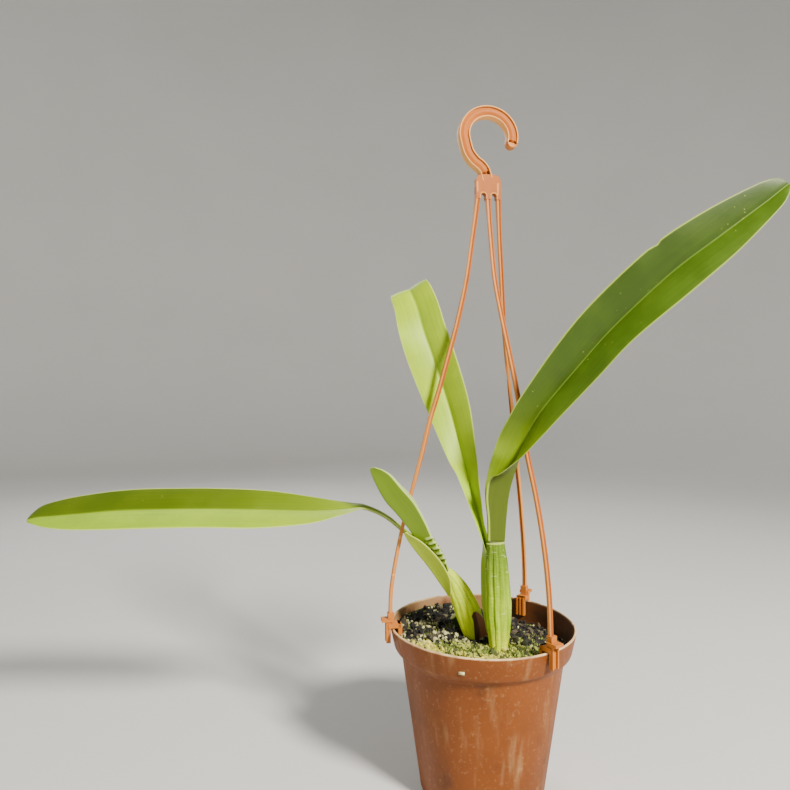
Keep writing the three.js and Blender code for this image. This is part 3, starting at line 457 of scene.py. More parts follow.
LEAF_SHORT = [
    [-25, -13, 141.3, 0, -1, 0, 3.5, 3.5, 52, 0, 2, 1.4],
    [-29.5, -14.2, 147.7, 0, -1, 0, 6.2, 6.2, 58, 0, 2, 1.5],
    [-34.6, -15.8, 154.4, 0, -1, 0, 7.4, 7.4, 62, 0, 2, 1.6],
    [-40.4, -17.4, 161.2, 0, -1, 0, 8.8, 8.8, 65, 0, 2, 1.7],
    [-46.4, -18.6, 170.4, 0, -1, 0, 10.6, 10.6, 68, 0, 2, 1.7],
    [-53.6, -19, 179.4, 0, -1, 0, 12.8, 12.8, 68, 0, 2, 1.7],
    [-61.5, -18.6, 188.4, 0, -1, 0, 12.9, 12.9, 68, 0, 2, 1.7],
    [-67.2, -17.6, 198.6, 0, -1, 0, 10.2, 10.2, 68, 0, 2, 1.6],
    [-70, -16.8, 204.6, 0, -1, 0, 6.2, 6.2, 62, 0, 1.8, 1.5],
    [-70.9, -16.6, 207.6, 0, -1, 0, 2.4, 2.4, 50, 0, 1.6, 1.3],
]
BRACT_GREEN = [
    [-21.6, -12.2, 126, 0, -1, 0, 1.5, 1.5, 30, 0, 1.2, 1],
    [-26.6, -12.8, 133.6, 0, -1, 0, 6, 7.5, 48, 0, 1.3, 1],
    [-34.1, -14.2, 144.7, 0, -1, 0, 6.4, 9.6, 52, 0, 1.4, 1],
    [-42.4, -16.4, 155.5, 0, -1, 0, 6, 8.6, 52, 0, 1.4, 1],
    [-47.3, -17.8, 162.3, 0, -1, 0, 4.6, 5.4, 50, 0, 1.3, 1],
    [-50.2, -18.4, 167.3, 0, -1, 0, 1.2, 1.2, 30, 0, 1.2, 1],
]
BRACT_BROWN = [
    [-3.2, -18.8, 96, 1, -0.1, 0.3, 8.4, 8.4, 32, 20, 1, 0.8],
    [-3.4, -19, 102, 1, -0.1, 0.3, 8.4, 8.2, 30, 20, 1, 0.8],
    [-4.2, -18.8, 108, 1, -0.1, 0.3, 7, 6.8, 28, 20, 1, 0.8],
    [-5.4, -18.4, 113, 1, -0.1, 0.3, 4.6, 4.4, 24, 20, 1, 0.8],
    [-6.6, -18, 117.5, 1, -0.1, 0.3, 1, 1, 10, 0, 0.9, 0.8],
]
BULB_A = [
    [5.6, -31, 91, 1, 0.1, 0, 4.8, 4],
    [6.0, -31, 98, 1, 0.1, 0, 5.2, 4.4],
    [6.3, -31, 110, 1, 0.1, 0, 6.9, 5],
    [6.1, -31, 122, 1, 0.1, 0, 7.9, 5.4],
    [5.7, -31, 135, 1, 0.1, 0, 7.8, 5.3],
    [5.1, -31, 149, 1, 0.1, 0, 7.1, 4.8],
    [4.6, -31, 158, 1, 0.1, 0.1, 6.2, 4.2],
    [4.3, -31, 164, 1, 0.1, 0.2, 5.4, 3.6],
]
BULB_B = [
    [-3.5, -12, 91, 1, 0, 0.35, 5.2, 4.6],
    [-4.6, -11.5, 97, 1, 0, 0.35, 6.3, 5],
    [-7.8, -11.5, 108, 1, 0, 0.4, 7.8, 5.6],
    [-11.6, -11.5, 119, 1, 0, 0.4, 7.9, 5.6],
    [-16, -11.5, 129, 1, 0, 0.45, 6.6, 4.8],
    [-20, -11.5, 136.5, 1, 0, 0.5, 4.6, 3.8],
    [-24, -11.5, 141.5, 1, 0, 0.6, 2.8, 2.8],
]
BACK_BULB = [
    [-5.5, 1, 92, 1, 0, 0.5, 4.2, 4.2],
    [-9, 1, 97.5, 1, 0, 0.5, 4.8, 4.6],
    [-13.5, 1, 104, 1, 0, 0.5, 4.6, 4.4],
    [-17.5, 1, 109, 1, 0, 0.5, 3.4, 3.2],
]

SEEDLING = [
    [1.2, -37.6, 99.4, 0.3, -0.9, 0.2, 0.6, 0.6, 10, 0, 0.5, 0.4],
    [2, -38.2, 101.2, 0.5, -0.8, 0.2, 1.4, 1.4, 12, 0, 0.5, 0.4],
    [3.1, -38.9, 103, 0.6, -0.75, 0.2, 1.5, 1.5, 12, 0, 0.5, 0.4],
    [4.4, -39.4, 104.6, 0.6, -0.75, 0.2, 0.3, 0.3, 0, 0, 0.4, 0.4],
]

BELOW_MIDDLE = 0.7  # the share of a strip's thickness that lies below its middle surface
ARCH = 0.03  # how far each half bulges, as a share of its width
MARGIN = 0.8  # the thickness near the margin, as a share of the row's
TIP_START = 0.975  # where the round tip begins


def make_strip(name, rows, material, steps, across=30, wave=0.3, notch=0.0, groove=0.35, keel=0.4,
               young=None, pleats=None, nicks=(), dips=()):
    """A fine leaf or sheath on the given rows: a groove along the midrib above, a keel below,
    thin round margins and a round or notched tip. It is young up to the first t of young, and
    grown from the second. A nick narrows one half at some t, and a dip draws it down along the
    strip."""
    # The rings lie closer at the tip, and the points of a ring at the midrib and the margins
    tip = 1 - 0.035 * (1 - np.linspace(0, 1, 16)) ** 2
    t = np.concatenate([np.linspace(0, tip[0], steps, endpoint=False), tip])
    middle, along, side, face, rest = frames(rows, t)
    left, right, fold, curl, thick_middle, thick_edge = [value[:, None] for value in rest]
    share = -np.cos(np.linspace(0, np.pi, across + 1))
    share = np.sign(share) * (0.35 * np.abs(share) + 0.65 * np.abs(share) ** 1.6)
    loop = np.concatenate([share, share[-2:0:-1]])
    upper = np.concatenate([np.zeros(across + 1), np.ones(across - 1)])
    reach = np.abs(loop)[None, :]
    past_start = ((t[:, None] - TIP_START) / (1 - TIP_START)).clip(0)
    round_tip = np.sqrt(np.clip(1 - past_start**2, 0.0004, 1))
    half = np.where(loop < 0, left, right) * round_tip
    for at, width, depth, sign in nicks:
        bite = depth * np.exp(-(((t[:, None] - at) / width) ** 2)) * (np.sign(loop) == sign)
        half = half - bite * smooth(reach, 0.75, 1.0)
    angle = np.radians(fold + curl * reach / 2)
    length = lengths(middle)
    out = loop[None, :] * half * np.cos(angle)
    rise = reach * half * np.sin(angle)
    rise = rise + ARCH * half * np.sin(np.pi * reach)
    margin_wave = wobble(length / 26 + 3 * np.sign(loop)[None, :], seed=len(rows))
    rise = rise + wave * margin_wave * reach**2 * smooth(t, 0.1, 0.3)[:, None]
    profile = thick_edge * MARGIN + (thick_middle - thick_edge * MARGIN) * (1 - reach) ** 2
    profile = profile * np.sqrt(np.clip(1 - reach**14, 0, 1)) * round_tip
    share_of_face = np.where(upper > 0, 1 - BELOW_MIDDLE, -BELOW_MIDDLE)[None, :]
    near_rib = np.exp(-((out / 0.9) ** 2))
    down = np.where(upper > 0, groove, keel)[None, :] * near_rib * round_tip
    rise = rise + share_of_face * profile - down
    shift = -notch * np.exp(-((loop / 0.3) ** 2))[None, :] * smooth(t, 0.9, 1.0)[:, None]
    for at, width, depth, sign in dips:
        dip = depth * np.exp(-(((t[:, None] - at) / width) ** 2))
        shift = shift - dip * smooth(sign * loop, 0.2, 0.9)
    pleat_shade = np.zeros((len(t), len(loop)))
    if pleats is not None:
        bulge, pleat_shade = pleats(t[:, None], loop[None, :])
        out = out + bulge * np.sign(loop)[None, :] * np.sin(angle)
        rise = rise - bulge * np.cos(angle)
    points = swept(middle, (along, shift), (side, out), (face, rise))
    size = points.shape[:2]
    youth = 1 - smooth(t, *young)[:, None] if young else 0.0
    layers = {
        "strip": stacked(loop[None, :], loop[None, :] * half, length).reshape(-1, 3),
        "face": np.broadcast_to(np.where(upper > 0, 1.0, -1.0), size).ravel(),
        "young": np.broadcast_to(youth, size).ravel(),
        "pleat_shade": pleat_shade.ravel(),
    }
    return make_object(name, points, ring_faces(*size), material, layers)


def make_bulb(name, rows, material, around, ribs, depth, seed, steps=110):
    """A fine bulb on the given rows, with uneven ribs, fine creases and a thin rim on top. around
    is how many points each ring has, and depth how deep the grooves between its ribs are."""
    t = np.linspace(0, 1, steps + 1)
    middle, _, side, face, rest = frames(rows, t)
    half_width, half_depth = rest[0][:, None], rest[1][:, None]
    angle = full_turn(around)
    cos, sin = np.cos(angle), np.sin(angle)
    height = lengths(middle)
    belly = np.sin(np.pi * t)[:, None]
    drift = 0.25 * wobble(height / 30, seed=seed)
    drift = drift + 0.09 * wobble(height / 9, 1.5 * cos, seed=seed + 7)
    waves = np.cos(ribs * (angle + drift) + 0.9 * np.sin(2 * angle + seed))
    uneven = 0.75 + 0.5 * wobble(height / 16, 2 * cos, 2 * sin, seed=seed + 8)
    groove = depth * belly * uneven * (0.5 - 0.5 * waves) ** 2
    creases = 0.018 * wobble(height / 2.4, 3 * cos, 3 * sin, seed=seed + 1)
    rim = 0.05 * smooth(t, 0.965, 0.99)[:, None] * (1 - smooth(t, 0.99, 1.0)[:, None] * 0.6)
    scale = 1 - groove + creases * belly + rim
    points = swept(middle, (side, half_width * scale * cos), (face, half_depth * scale * sin))
    layer = stacked(angle, height, t[:, None]).reshape(-1, 3)
    return make_object(name, points, ring_faces(len(t), around), material, {"strip": layer})


def pleats(t, share):
    """Bulge of the crosswise pleats at the foot of the short leaf, and where their colour is
    painted: 1 in a crease, which gets painted shade, and -1 on a ridge, which gets a painted
    highlight."""
    start, end, count, crease_edge = 0.06, 0.36, 6, 0.62
    along = np.clip((t - start) / (end - start), 0, 1)
    slant = along + 0.05 * (np.abs(share) - 0.7)
    ridge = np.abs(np.sin(np.pi * count * slant)) ** 0.6
    reach = smooth(np.abs(share), 0.42, 0.6) * smooth(along, 0, 0.08) * (1 - smooth(along, 0.9, 1))
    # Painted highlight on the tops of the ridges, and painted shade in the creases between them.
    high = -smooth(ridge, 0.75, 0.95)
    pleat_shade = np.where(ridge < crease_edge, 1 - ridge / crease_edge, high) * reach
    return (1.9 * ridge - 1.3) * reach, pleat_shade


# On the leaves, the factors for the two halves are painted light and painted shade: one half of
# each folded blade lighter, the other darker.
leaf_skin = leaf_material(
    "leaf",
    (0.046, 0.094, 0.0004), (0.034, 0.072, 0.0002), (0.066, 0.098, 0.001), (0.23, 0.35, 0.001),
    margin=(0.36, 0.46, 0.06), rib=(0.12, 0.21, 0.006), half_tone_and_light=(1.35, 0.85),
)
leaf_level = leaf_material(
    "leaf level", (0.2, 0.32, 0.001), (0.16, 0.27, 0.001), (0.2, 0.28, 0.006), (0.26, 0.38, 0.001),
    rib=(0.14, 0.24, 0.004), half_tone_and_light=(0.4, 1.6),
)
leaf_light = leaf_material(
    "leaf light", (0.34, 0.5, 0.002), (0.28, 0.43, 0.001), (0.2, 0.31, 0.004), (0.36, 0.5, 0.003),
    half_tone_and_light=(0.86, 1.12),
)
leaf_grey = leaf_material(
    "leaf grey", (0.17, 0.27, 0.006), (0.12, 0.21, 0.004), (0.14, 0.23, 0.005), (0.3, 0.42, 0.01),
    margin=(0.6, 0.75, 0.22),
)
sheath_skin = leaf_material(
    "sheath", (0.36, 0.46, 0.02), (0.28, 0.38, 0.015), (0.38, 0.5, 0.02), (0.46, 0.56, 0.03),
    margin=(0.7, 0.8, 0.15), rib=(0.4, 0.5, 0.03),
)
# On the dry scale, the dark inner half and the pale flap are partly its own colour and partly
# painted shade inside the hood.
dry_skin = leaf_material(
    "dry scale",
    (0.045, 0.014, 0.006), (0.025, 0.008, 0.004), (0.05, 0.018, 0.009), (0.06, 0.025, 0.012),
    margin=(0.5, 0.25, 0.15), rib=(0.02, 0.008, 0.005), half_tone_and_light=(0.8, 6.0),
)
bulb_green = bulb_material(
    "bulb green", (0.22, 0.36, 0.001), (0.42, 0.62, 0.003), (0.86, 0.95, 0.01),
    wrinkle=0.8, crown=(0.36, 0.42, 0.36),
)
bulb_yellow = bulb_material(
    "bulb yellow", (0.56, 0.76, 0.001), (0.76, 0.92, 0.004), (0.66, 0.7, 0.03),
    wrinkle=0.3, crown=(0.85, 0.85, 0.6),
)
bulb_old = bulb_material(
    "bulb old", (0.02, 0.05, 0.006), (0.045, 0.09, 0.012), (0.03, 0.035, 0.01),
    wrinkle=0.8, crown=(0.5, 0.5, 0.5),
)

STRIPS = [
    ("leaf_right", LEAF_RIGHT, leaf_skin, "leaf",
     dict(steps=190, notch=1.6, young=(0.16, 0.62), nicks=[(0.72, 0.004, 1.4, 1)],
          dips=[(0.25, 0.028, 3.2, -1)])),
    ("leaf_upright", LEAF_UPRIGHT, leaf_light, "leaf", dict(steps=190, young=(0.1, 0.45))),
    ("leaf_long", LEAF_LONG, leaf_level, "leaf", dict(steps=200, young=(0.15, 0.8))),
    ("leaf_short", LEAF_SHORT, leaf_grey, "leaf_grey",
     dict(steps=420, young=(0.0, 0.35), pleats=pleats, keel=0.5)),
    ("bract_green", BRACT_GREEN, sheath_skin, "sheath", dict(steps=80)),
    ("bract_brown", BRACT_BROWN, dry_skin, "dry_scale",
     dict(steps=60, wave=0.6, keel=0.1, groove=0.1)),
]
BULBS = [
    ("bulb_a", BULB_A, bulb_green, "bulb", dict(around=180, ribs=10, depth=0.19, seed=3)),
    ("bulb_b", BULB_B, bulb_yellow, "bulb_pale", dict(around=150, ribs=10, depth=0.13, seed=8)),
    ("back_bulb", BACK_BULB, bulb_old, "old_bulb",
     dict(around=90, ribs=6, depth=0.14, seed=5, steps=50)),
]
for make, pieces in ((make_strip, STRIPS), (make_bulb, BULBS)):
    for node, rows, skin, slot, form in pieces:
        place(make(node + "_fine", rows, skin, **form), slot, node)


# The pot


def cut_corners(profile, reach):
    """The profile with each corner but the first and last cut off, up to reach from it."""
    cut = [profile[0]]
    for before, corner, after in zip(profile, profile[1:], profile[2:]):
        for other in (before, after):
            away = np.asarray(other, float) - corner
            size = np.linalg.norm(away)
            cut.append(np.asarray(corner) + away / size * min(reach, 0.4 * size))
    return cut + [profile[-1]]


def fill_in(profile, longest):
    """The profile with points added, so that no stretch is longer than longest."""
    full = [np.asarray(profile[0], float)]
    for start, end in zip(profile, profile[1:]):
        start, end = np.asarray(start, float), np.asarray(end, float)
        pieces = max(1, int(np.ceil(np.linalg.norm(end - start) / longest)))
        full += [start + (end - start) * k / pieces for k in range(1, pieces + 1)]
    return np.array(full)


POT_OUTSIDE = [
    (13.8, 0), (14.8, 2.5), (28.2, 2.5), (29.2, 0), (39, 0), (40, 1), (52.5, 87), (53.5, 87.8),
    (55.8, 89.5), (57, 90.9), (60, 104.3), (59.6, 105), (58.6, 105),
]
POT_INSIDE = [
    (58.2, 104.3), (55.2, 90), (50.7, 87), (38.2, 2.8), (37.7, 1.8), (31, 1.8), (29, 4.3),
    (14, 4.3), (12, 1.8),
]
POT_RADIUS, LIP_FOOT, LIP_TOP = 60, 104.0, 105.0
FOOT_HEIGHT, COLLAR_FOOT = 3, 90
POT_SHARP = np.radians(40)


def make_pot(material, sides=240):
    """The pot, with dents, chips in the lip, rubbed places on the collar, and dirt inside, with
    painted shade that darkens the inner wall towards the right and painted light that makes it
    paler at the left."""
    profile = fill_in(cut_corners(cut_corners(POT_OUTSIDE + POT_INSIDE, 0.7), 0.25), 3.0)
    outer = np.arange(len(profile)) < np.argmax(profile[:, 1] > LIP_TOP - 0.05) + 2
    radius, height = profile[:, 0][:, None], profile[:, 1][:, None]
    angle = full_turn(sides)
    x, y = radius * np.cos(angle), radius * np.sin(angle)
    dent = 0.1 * wobble(x / 22, y / 22, height / 22, seed=4)
    on_lip = smooth(height, LIP_FOOT - 0.4, LIP_TOP)
    nick = smooth(wobble(x / 2.4, y / 2.4, seed=9), 0.45, 0.9)
    inward = np.minimum(dent, 0) - 0.3 * nick * on_lip
    radius = radius + inward * (height > FOOT_HEIGHT)
    height = height - 0.45 * nick * on_lip
    points = ring_points(radius, height, angle)
    chips = 0.9 + 0.6 * wobble(x / 2.2, y / 2.2, seed=14)
    wear_and_light = smooth(height, LIP_TOP - 1.0, LIP_TOP - 0.5) * np.clip(chips, 0.3, 1)
    rub = smooth(wobble(x / 9, y / 9, height / 5, seed=21), 0.4, 1.0)
    on_collar = smooth(height, COLLAR_FOOT, COLLAR_FOOT + 2) * outer[:, None]
    wear_and_light = np.maximum(wear_and_light, 0.12 * rub * on_collar)
    # Inside: dirt, with painted shade towards the right, and painted light in the worn colour
    # towards the left.
    left = smooth(x - y * 0.6, 30, -50)
    patches = smooth(wobble(x / 5, y / 5, height / 3, seed=23), -0.1, 0.7)
    dirt_and_shade = np.where(outer[:, None], 0.0, 0.8 - 0.5 * left + 0.25 * patches)
    painted_light_inside = np.where(outer[:, None], 0, 0.32 * left * (1 - 0.85 * patches))
    layers = {"wear_and_light": np.clip(np.maximum(wear_and_light, painted_light_inside), 0, 1).ravel(), "stain_and_shade": dirt_and_shade.ravel()}
    faces = ring_faces(len(profile), sides)
    made = make_object("pot_fine", points, faces, material, layers)
    made.data.set_sharp_from_angle(angle=POT_SHARP)
    return made


HOLES, HOLE_CIRCLE, HOLE_RADIUS = 8, 22.0, 3.0


def drill(made):
    """Cuts the ring of drain holes in the base."""
    points, faces = [], []
    sides = 24
    for hole in range(HOLES):
        turn = 2 * np.pi * (hole + 0.5) / HOLES
        centre = (HOLE_CIRCLE * np.cos(turn), HOLE_CIRCLE * np.sin(turn), 0)
        tube = ring_points(HOLE_RADIUS, np.array([[-4.0], [12.0]]), full_turn(sides))
        faces += [[len(points) + i for i in face] for face in ring_faces(2, sides)]
        points += (tube.reshape(-1, 3) + centre).tolist()
    cutter = make_object("drill", points, faces, made.data.materials[0])
    cut = made.modifiers.new("holes", "BOOLEAN")
    cut.operation = "DIFFERENCE"
    cut.object = cutter
    cut.solver = "EXACT"
    solid = made.evaluated_get(bpy.context.evaluated_depsgraph_get())
    made.data = bpy.data.meshes.new_from_object(solid)
    made.modifiers.clear()
    bpy.data.objects.remove(cutter)


# The hanger

HANGER_SHARP = np.radians(35)


class Shell:
    """Points and faces of several closed pieces in one mesh, with their layers."""

    def __init__(self):
        self.points, self.faces, self.layers = [], [], {"wear_and_light": [], "stain_and_shade": []}

    def add(self, points, faces, wear_and_light=0.0, stain_and_shade=0.0):
        points = np.asarray(points, float).reshape(-1, 3)
        if signed_volume(points, faces) < 0:
            faces = [face[::-1] for face in faces]
        start = sum(len(piece) for piece in self.points)
        self.faces += [[start + i for i in face] for face in faces]
        self.points.append(points)
        for layer, value in (("wear_and_light", wear_and_light), ("stain_and_shade", stain_and_shade)):
            self.layers[layer].append(np.broadcast_to(value, len(points)))

    def make(self, name, material):
        layers = {key: np.concatenate(values) for key, values in self.layers.items()}
        points = np.concatenate(self.points)
        made = make_object(name, points, self.faces, material, layers, outwards=False)
        made.data.set_sharp_from_angle(angle=HANGER_SHARP)
        return made


def bevelled(points, faces, offset):
    """A closed shape with its edges rounded, as points and faces."""
    shape = bmesh.new()
    corners = [shape.verts.new(point) for point in points]
    for face in faces:
        shape.faces.new([corners[i] for i in face])
    sharp = [edge for edge in shape.edges if edge.calc_face_angle(0) > np.radians(30)]
    bmesh.ops.bevel(shape, geom=sharp, offset=offset, segments=2, profile=0.5, affect="EDGES")
    bmesh.ops.recalc_face_normals(shape, faces=shape.faces)
    shape.verts.ensure_lookup_table()
    shape.verts.index_update()
    result = [tuple(v.co) for v in shape.verts], [[v.index for v in f.verts] for f in shape.faces]
    shape.free()
    return result


def box_shape(low, high):
    xs, ys, zs = zip(low, high)
    corners = [(x, y, z) for z in zs for y in ys for x in xs]
    faces = [[0, 2, 3, 1], [4, 5, 7, 6], [0, 1, 5, 4], [2, 6, 7, 3], [0, 4, 6, 2], [1, 3, 7, 5]]
    return corners, faces


def turned(points, degrees, centre=(0.0, 0.0)):
    points = np.asarray(points, float)
    turn = np.radians(degrees)
    x, y = points[:, 0] - centre[0], points[:, 1] - centre[1]
    return stacked(
        centre[0] + x * np.cos(turn) - y * np.sin(turn),
        centre[1] + x * np.sin(turn) + y * np.cos(turn),
        points[:, 2],
    )


BAR_SHARES = [0.2, 0.36, 0.5, 0.6, 0.68, 0.74, 0.8, 0.9, 0.97, 1]


def bar(rows, steps, width_at, height_at):
    """A bar along the rows, with the share across of each point of its loops. width_at gives the
    half width for each t, and height_at the half height at a share across."""
    t = np.linspace(0, 1, steps + 1)
    middle, _, side, face, _ = frames(rows, t)
    share = np.array([-value for value in BAR_SHARES[::-1]] + [0] + BAR_SHARES)
    height = height_at(t[:, None], np.abs(share)[None, :])
    across = share[None, :] * width_at(t[:, None])
    out = np.concatenate([across, across[:, ::-1]], axis=1)
    rise = np.concatenate([-height, height[:, ::-1]], axis=1)
    points = swept(middle, (side, out), (face, rise))
    return points, ring_faces(*points.shape[:2]), np.concatenate([share, share[::-1]])


HOOK_CENTRE = (4.1, 422.5)
HOOK_RADII = (16.6, 15.5)
HOOK_HALF_WIDTH, HOOK_HALF_DEPTH = 3.65, 3.0
HOOK_TURN = 12
HOOK_END_ANGLE = -13
PLATE_X = 4
PLATE_HALF, PLATE_FOOT, PLATE_TOP, PLATE_ROUND, PLATE_FACE = 8.5, 381.0, 397.0, 4.6, 2.0
SLOT_MIDDLES, SLOT_HALF, SLOT_CENTRE, SLOT_RIM = (3.6, -3.6), 1.9, 382.9, 2.2
SEAM_HEIGHT = 139.0

# For each leg, where on the rim its clip sits in degrees, and its middle line from the top down
LEG_ROUTES = {
    "left": (190, [
        [-2.85, -1.46, 392], [-2.95, -1.46, 380.9], [-6.3, -1.6, 354.4], [-10.2, -3.2, 328],
        [-15.9, -4.6, 301.8], [-21.1, -5.8, 282.3], [-28.3, -7.2, 256.5], [-34.2, -8.2, 237.3],
        [-39.6, -9, 214.9], [-46, -9.8, 191.3], [-51.2, -10.2, 171.6], [-54.6, -10.4, 155.7],
        [-57.6, -10.5, 139.1], [-59.2, -10.6, 126], [-59.6, -10.6, 113],
    ]),
    "front": (-56, [
        [4, 0, 392], [4.15, -0.1, 380.9], [5.7, -3.5, 353.9], [7.6, -8, 327.1], [11.4, -14, 300.7],
        [15.6, -20, 275.1], [18.9, -25.5, 252.1], [22.9, -32.5, 218.9], [26.6, -38, 196.2],
        [29.5, -42, 175.3], [31.5, -46, 154.3], [32.7, -48.8, 133.4], [33.2, -49.6, 113],
    ]),
    "back": (51.5, [
        [10.85, 1.46, 392], [11.1, 1.5, 380.9], [12.5, 4.2, 355.7], [14.6, 9, 330.2],
        [16.9, 15, 304.1], [18.9, 19, 288.2], [21.4, 24, 270.6], [24, 28, 251.9],
        [30.2, 37, 203.5], [33.2, 41, 179.3], [36.2, 45, 148.2], [37.5, 47, 128],
        [37.8, 47.6, 113],
    ]),
}


def hook_rows():
    """The hook's middle line from its open end round to the plate, with its side."""
    rows = []
    for angle in np.radians(np.linspace(HOOK_END_ANGLE, 188, 17)):
        out = (np.cos(angle), np.sin(angle))
        x, z = HOOK_CENTRE[0] + HOOK_RADII[0] * out[0], HOOK_CENTRE[1] + HOOK_RADII[1] * out[1]
        rows.append([x, 0, z, out[0], 0, out[1]])
    return rows + [
        [-9.8, 0, 411.2, -0.9, 0, -0.45], [-5.6, 0, 405.6, -0.72, 0, -0.7],
        [-1.3, 0, 402.4, -0.72, 0, -0.7], [1.6, 0, 398.8, -0.88, 0, -0.5],
        [3.4, 0, 394, -1, 0, -0.1],
    ]


def hook_height(t, share):
    """Two raised rims and a rib between them, with deeper pits at both ends of the channel."""
    last_pit = smooth(t, 0.955, 0.96) * (1 - smooth(t, 0.985, 0.99))
    pit = np.maximum(1 - smooth(t, 0.014, 0.022), last_pit) * smooth(share, 0.12, 0.26)
    floor = HOOK_HALF_DEPTH - 1.1 + 0.75 * (1 - smooth(share, 0.05, 0.7)) - 1.3 * pit
    rim = smooth(share, 0.74, 0.8)
    height = floor * (1 - rim) + HOOK_HALF_DEPTH * rim
    sunk = 0.9 * smooth(t, 0.93, 0.99)
    return height - 0.45 * smooth(share, 0.92, 1.0) ** 2 - sunk


def leg_width(t):
    return 1.62 - 0.17 * smooth(t, 0.03, 0.16)


def leg_height(t, share):
    """A groove along the middle, which begins below the plate, and round edges."""
    groove = 0.6 * (1 - smooth(share, 0.1, 0.5)) * smooth(t, 0.05, 0.1)
    return 1.1 + 0.9 * (1 - smooth(t, 0.04, 0.16)) - groove - 0.4 * smooth(share, 0.75, 1.0) ** 2


def hook_end(centre, sides=48):
    """The round end of the hook: a rim round a flat floor, on both faces, open to the channel."""
    angle = full_turn(sides)
    share = np.array([0.01, 0.2, 0.4, 0.55, 0.66, 0.72, 0.78, 0.84, 0.92, 0.97, 1.0])[:, None]
    beyond = smooth(-np.sin(angle - np.radians(HOOK_END_ANGLE)), -0.15, 0.15)
    rim = smooth(share, 0.72, 0.8) * beyond
    floor = HOOK_HALF_DEPTH - 2.5 + 1.5 * beyond
    height = floor * (1 - rim) + HOOK_HALF_DEPTH * rim - 0.45 * smooth(share, 0.92, 1.0) ** 2
    share, height = np.concatenate([share, share[::-1]]), np.concatenate([-height, height[::-1]])
    reach = HOOK_HALF_WIDTH * share
    points = stacked(centre[0] + reach * np.cos(angle), height, centre[2] + reach * np.sin(angle))
    return points.reshape(-1, 3), ring_faces(len(share), sides)


def arc(x, z, reach, start, end, count):
    """Points of an arc in the plane of the plate, between two angles in degrees."""
    angles = np.radians(np.linspace(start, end, count))
    return [(x + reach * np.cos(a), z + reach * np.sin(a)) for a in angles]


def plate_shape():
    """The plate's outline with its two slots, as a solid sheet."""
    inset, below = PLATE_HALF - PLATE_ROUND, PLATE_TOP - PLATE_ROUND
    line = [(-PLATE_HALF, PLATE_FOOT)]
    line += arc(-inset, below, PLATE_ROUND, 180, 90, 8)
    line += arc(inset, below, PLATE_ROUND, 90, 0, 8)
    line += [(PLATE_HALF, PLATE_FOOT)]
    for middle in SLOT_MIDDLES:
        line += [(middle + SLOT_HALF, PLATE_FOOT)]
        line += arc(middle, SLOT_CENTRE, SLOT_HALF, 0, 180, 11)
        line += [(middle - SLOT_HALF, PLATE_FOOT)]
    points = [(x, y, z) for y in (-PLATE_FACE, PLATE_FACE) for x, z in line]
    return bevelled(points, ring_faces(2, len(line)), 0.35)


def slot_rims():
    """A thin raised rim round the arch of each slot, on both faces of the plate."""
    around = full_turn(10)
    out, rise = 0.42 * np.cos(around), 0.36 * np.sin(around)
    for middle in SLOT_MIDDLES:
        for face in (-PLATE_FACE, PLATE_FACE):
            route = [(middle + SLOT_RIM, PLATE_FOOT)]
            route += arc(middle, SLOT_CENTRE, SLOT_RIM, 0, 180, 25)
            route = np.array(route + [(middle - SLOT_RIM, PLATE_FOOT)])
            step = unit(np.gradient(route, axis=0))
            points = stacked(
                route[:, :1] - step[:, 1:] * out, face + rise, route[:, 1:] + step[:, :1] * out
            )
            yield points.reshape(-1, 3), ring_faces(*points.shape[:2])


def clip_boxes():
    """Boxes of one clip: across the rim, along it, and up, from the lip's outer edge."""
    boxes = [
        [(-5.8, -3.2, 0.4), (2.2, 3.2, 3.2)],
        [(-5.8, -3.2, -10), (-4.2, 3.2, 3.2)],
        [(0.6, -2.6, -9), (2.2, 2.6, 6.2)],
        [(-0.8, -3.2, 4.4), (6.2, 3.2, 6.2)],
        [(-1.6, -2.2, 2), (2.2, 2.2, 9.6)],
        [(2.0, -2.6, -9), (3.5, -1.5, 5)],
        [(2.0, 1.5, -9), (3.5, 2.6, 5)],
    ]
    boxes += [[(-6.7, rib - 0.5, -10), (-5.6, rib + 0.5, 2.2)] for rib in (-2.5, 0, 2.5)]
    return boxes


def add_hook(shell):
    """The hook with painted highlights on its rims and painted shade in its channel and pits, and
    the plate below it, darkened with painted shade.
    """
    top = (PLATE_X, 0.0)
    rows = hook_rows()
    points, faces, share = bar(rows, 320, lambda t: HOOK_HALF_WIDTH + 0 * t, hook_height)
    share = np.abs(share)
    # Painted highlight on the raised rims, in the worn colour.
    rim_highlight = np.broadcast_to(0.75 * smooth(share, 0.7, 0.85), points.shape[:2]).ravel()
    t = np.linspace(0, 1, len(points))[:, None]
    # Painted shade in the pits at both ends of the channel and, fainter, along the channel.
    pits = smooth(t, 0.952, 0.958) * (1 - smooth(t, 0.985, 0.99)) + 1 - smooth(t, 0.014, 0.024)
    pits = pits * (smooth(share, 0.14, 0.3) * (1 - smooth(share, 0.7, 0.76)))[None, :]
    stain_and_shade = np.maximum(0.85 * pits, 0.14 * (1 - smooth(share, 0.66, 0.76))[None, :])
    shell.add(turned(points.reshape(-1, 3), HOOK_TURN, top), faces, rim_highlight, stain_and_shade.ravel())
    points, faces = hook_end(rows[0])
    shell.add(turned(points, HOOK_TURN, top), faces, 0.2)
    # The plate is darkened with painted shade; the slot rims are paler.
    parts = [(plate_shape(), 0.0, 0.3)] + [(rim, 0.35, 0.0) for rim in slot_rims()]
    for (points, faces), wear_and_light, stain_and_shade in parts:
        points = np.asarray(points) + (PLATE_X, 0, 0)
        shell.add(turned(points, HOOK_TURN, top), faces, wear_and_light, stain_and_shade)


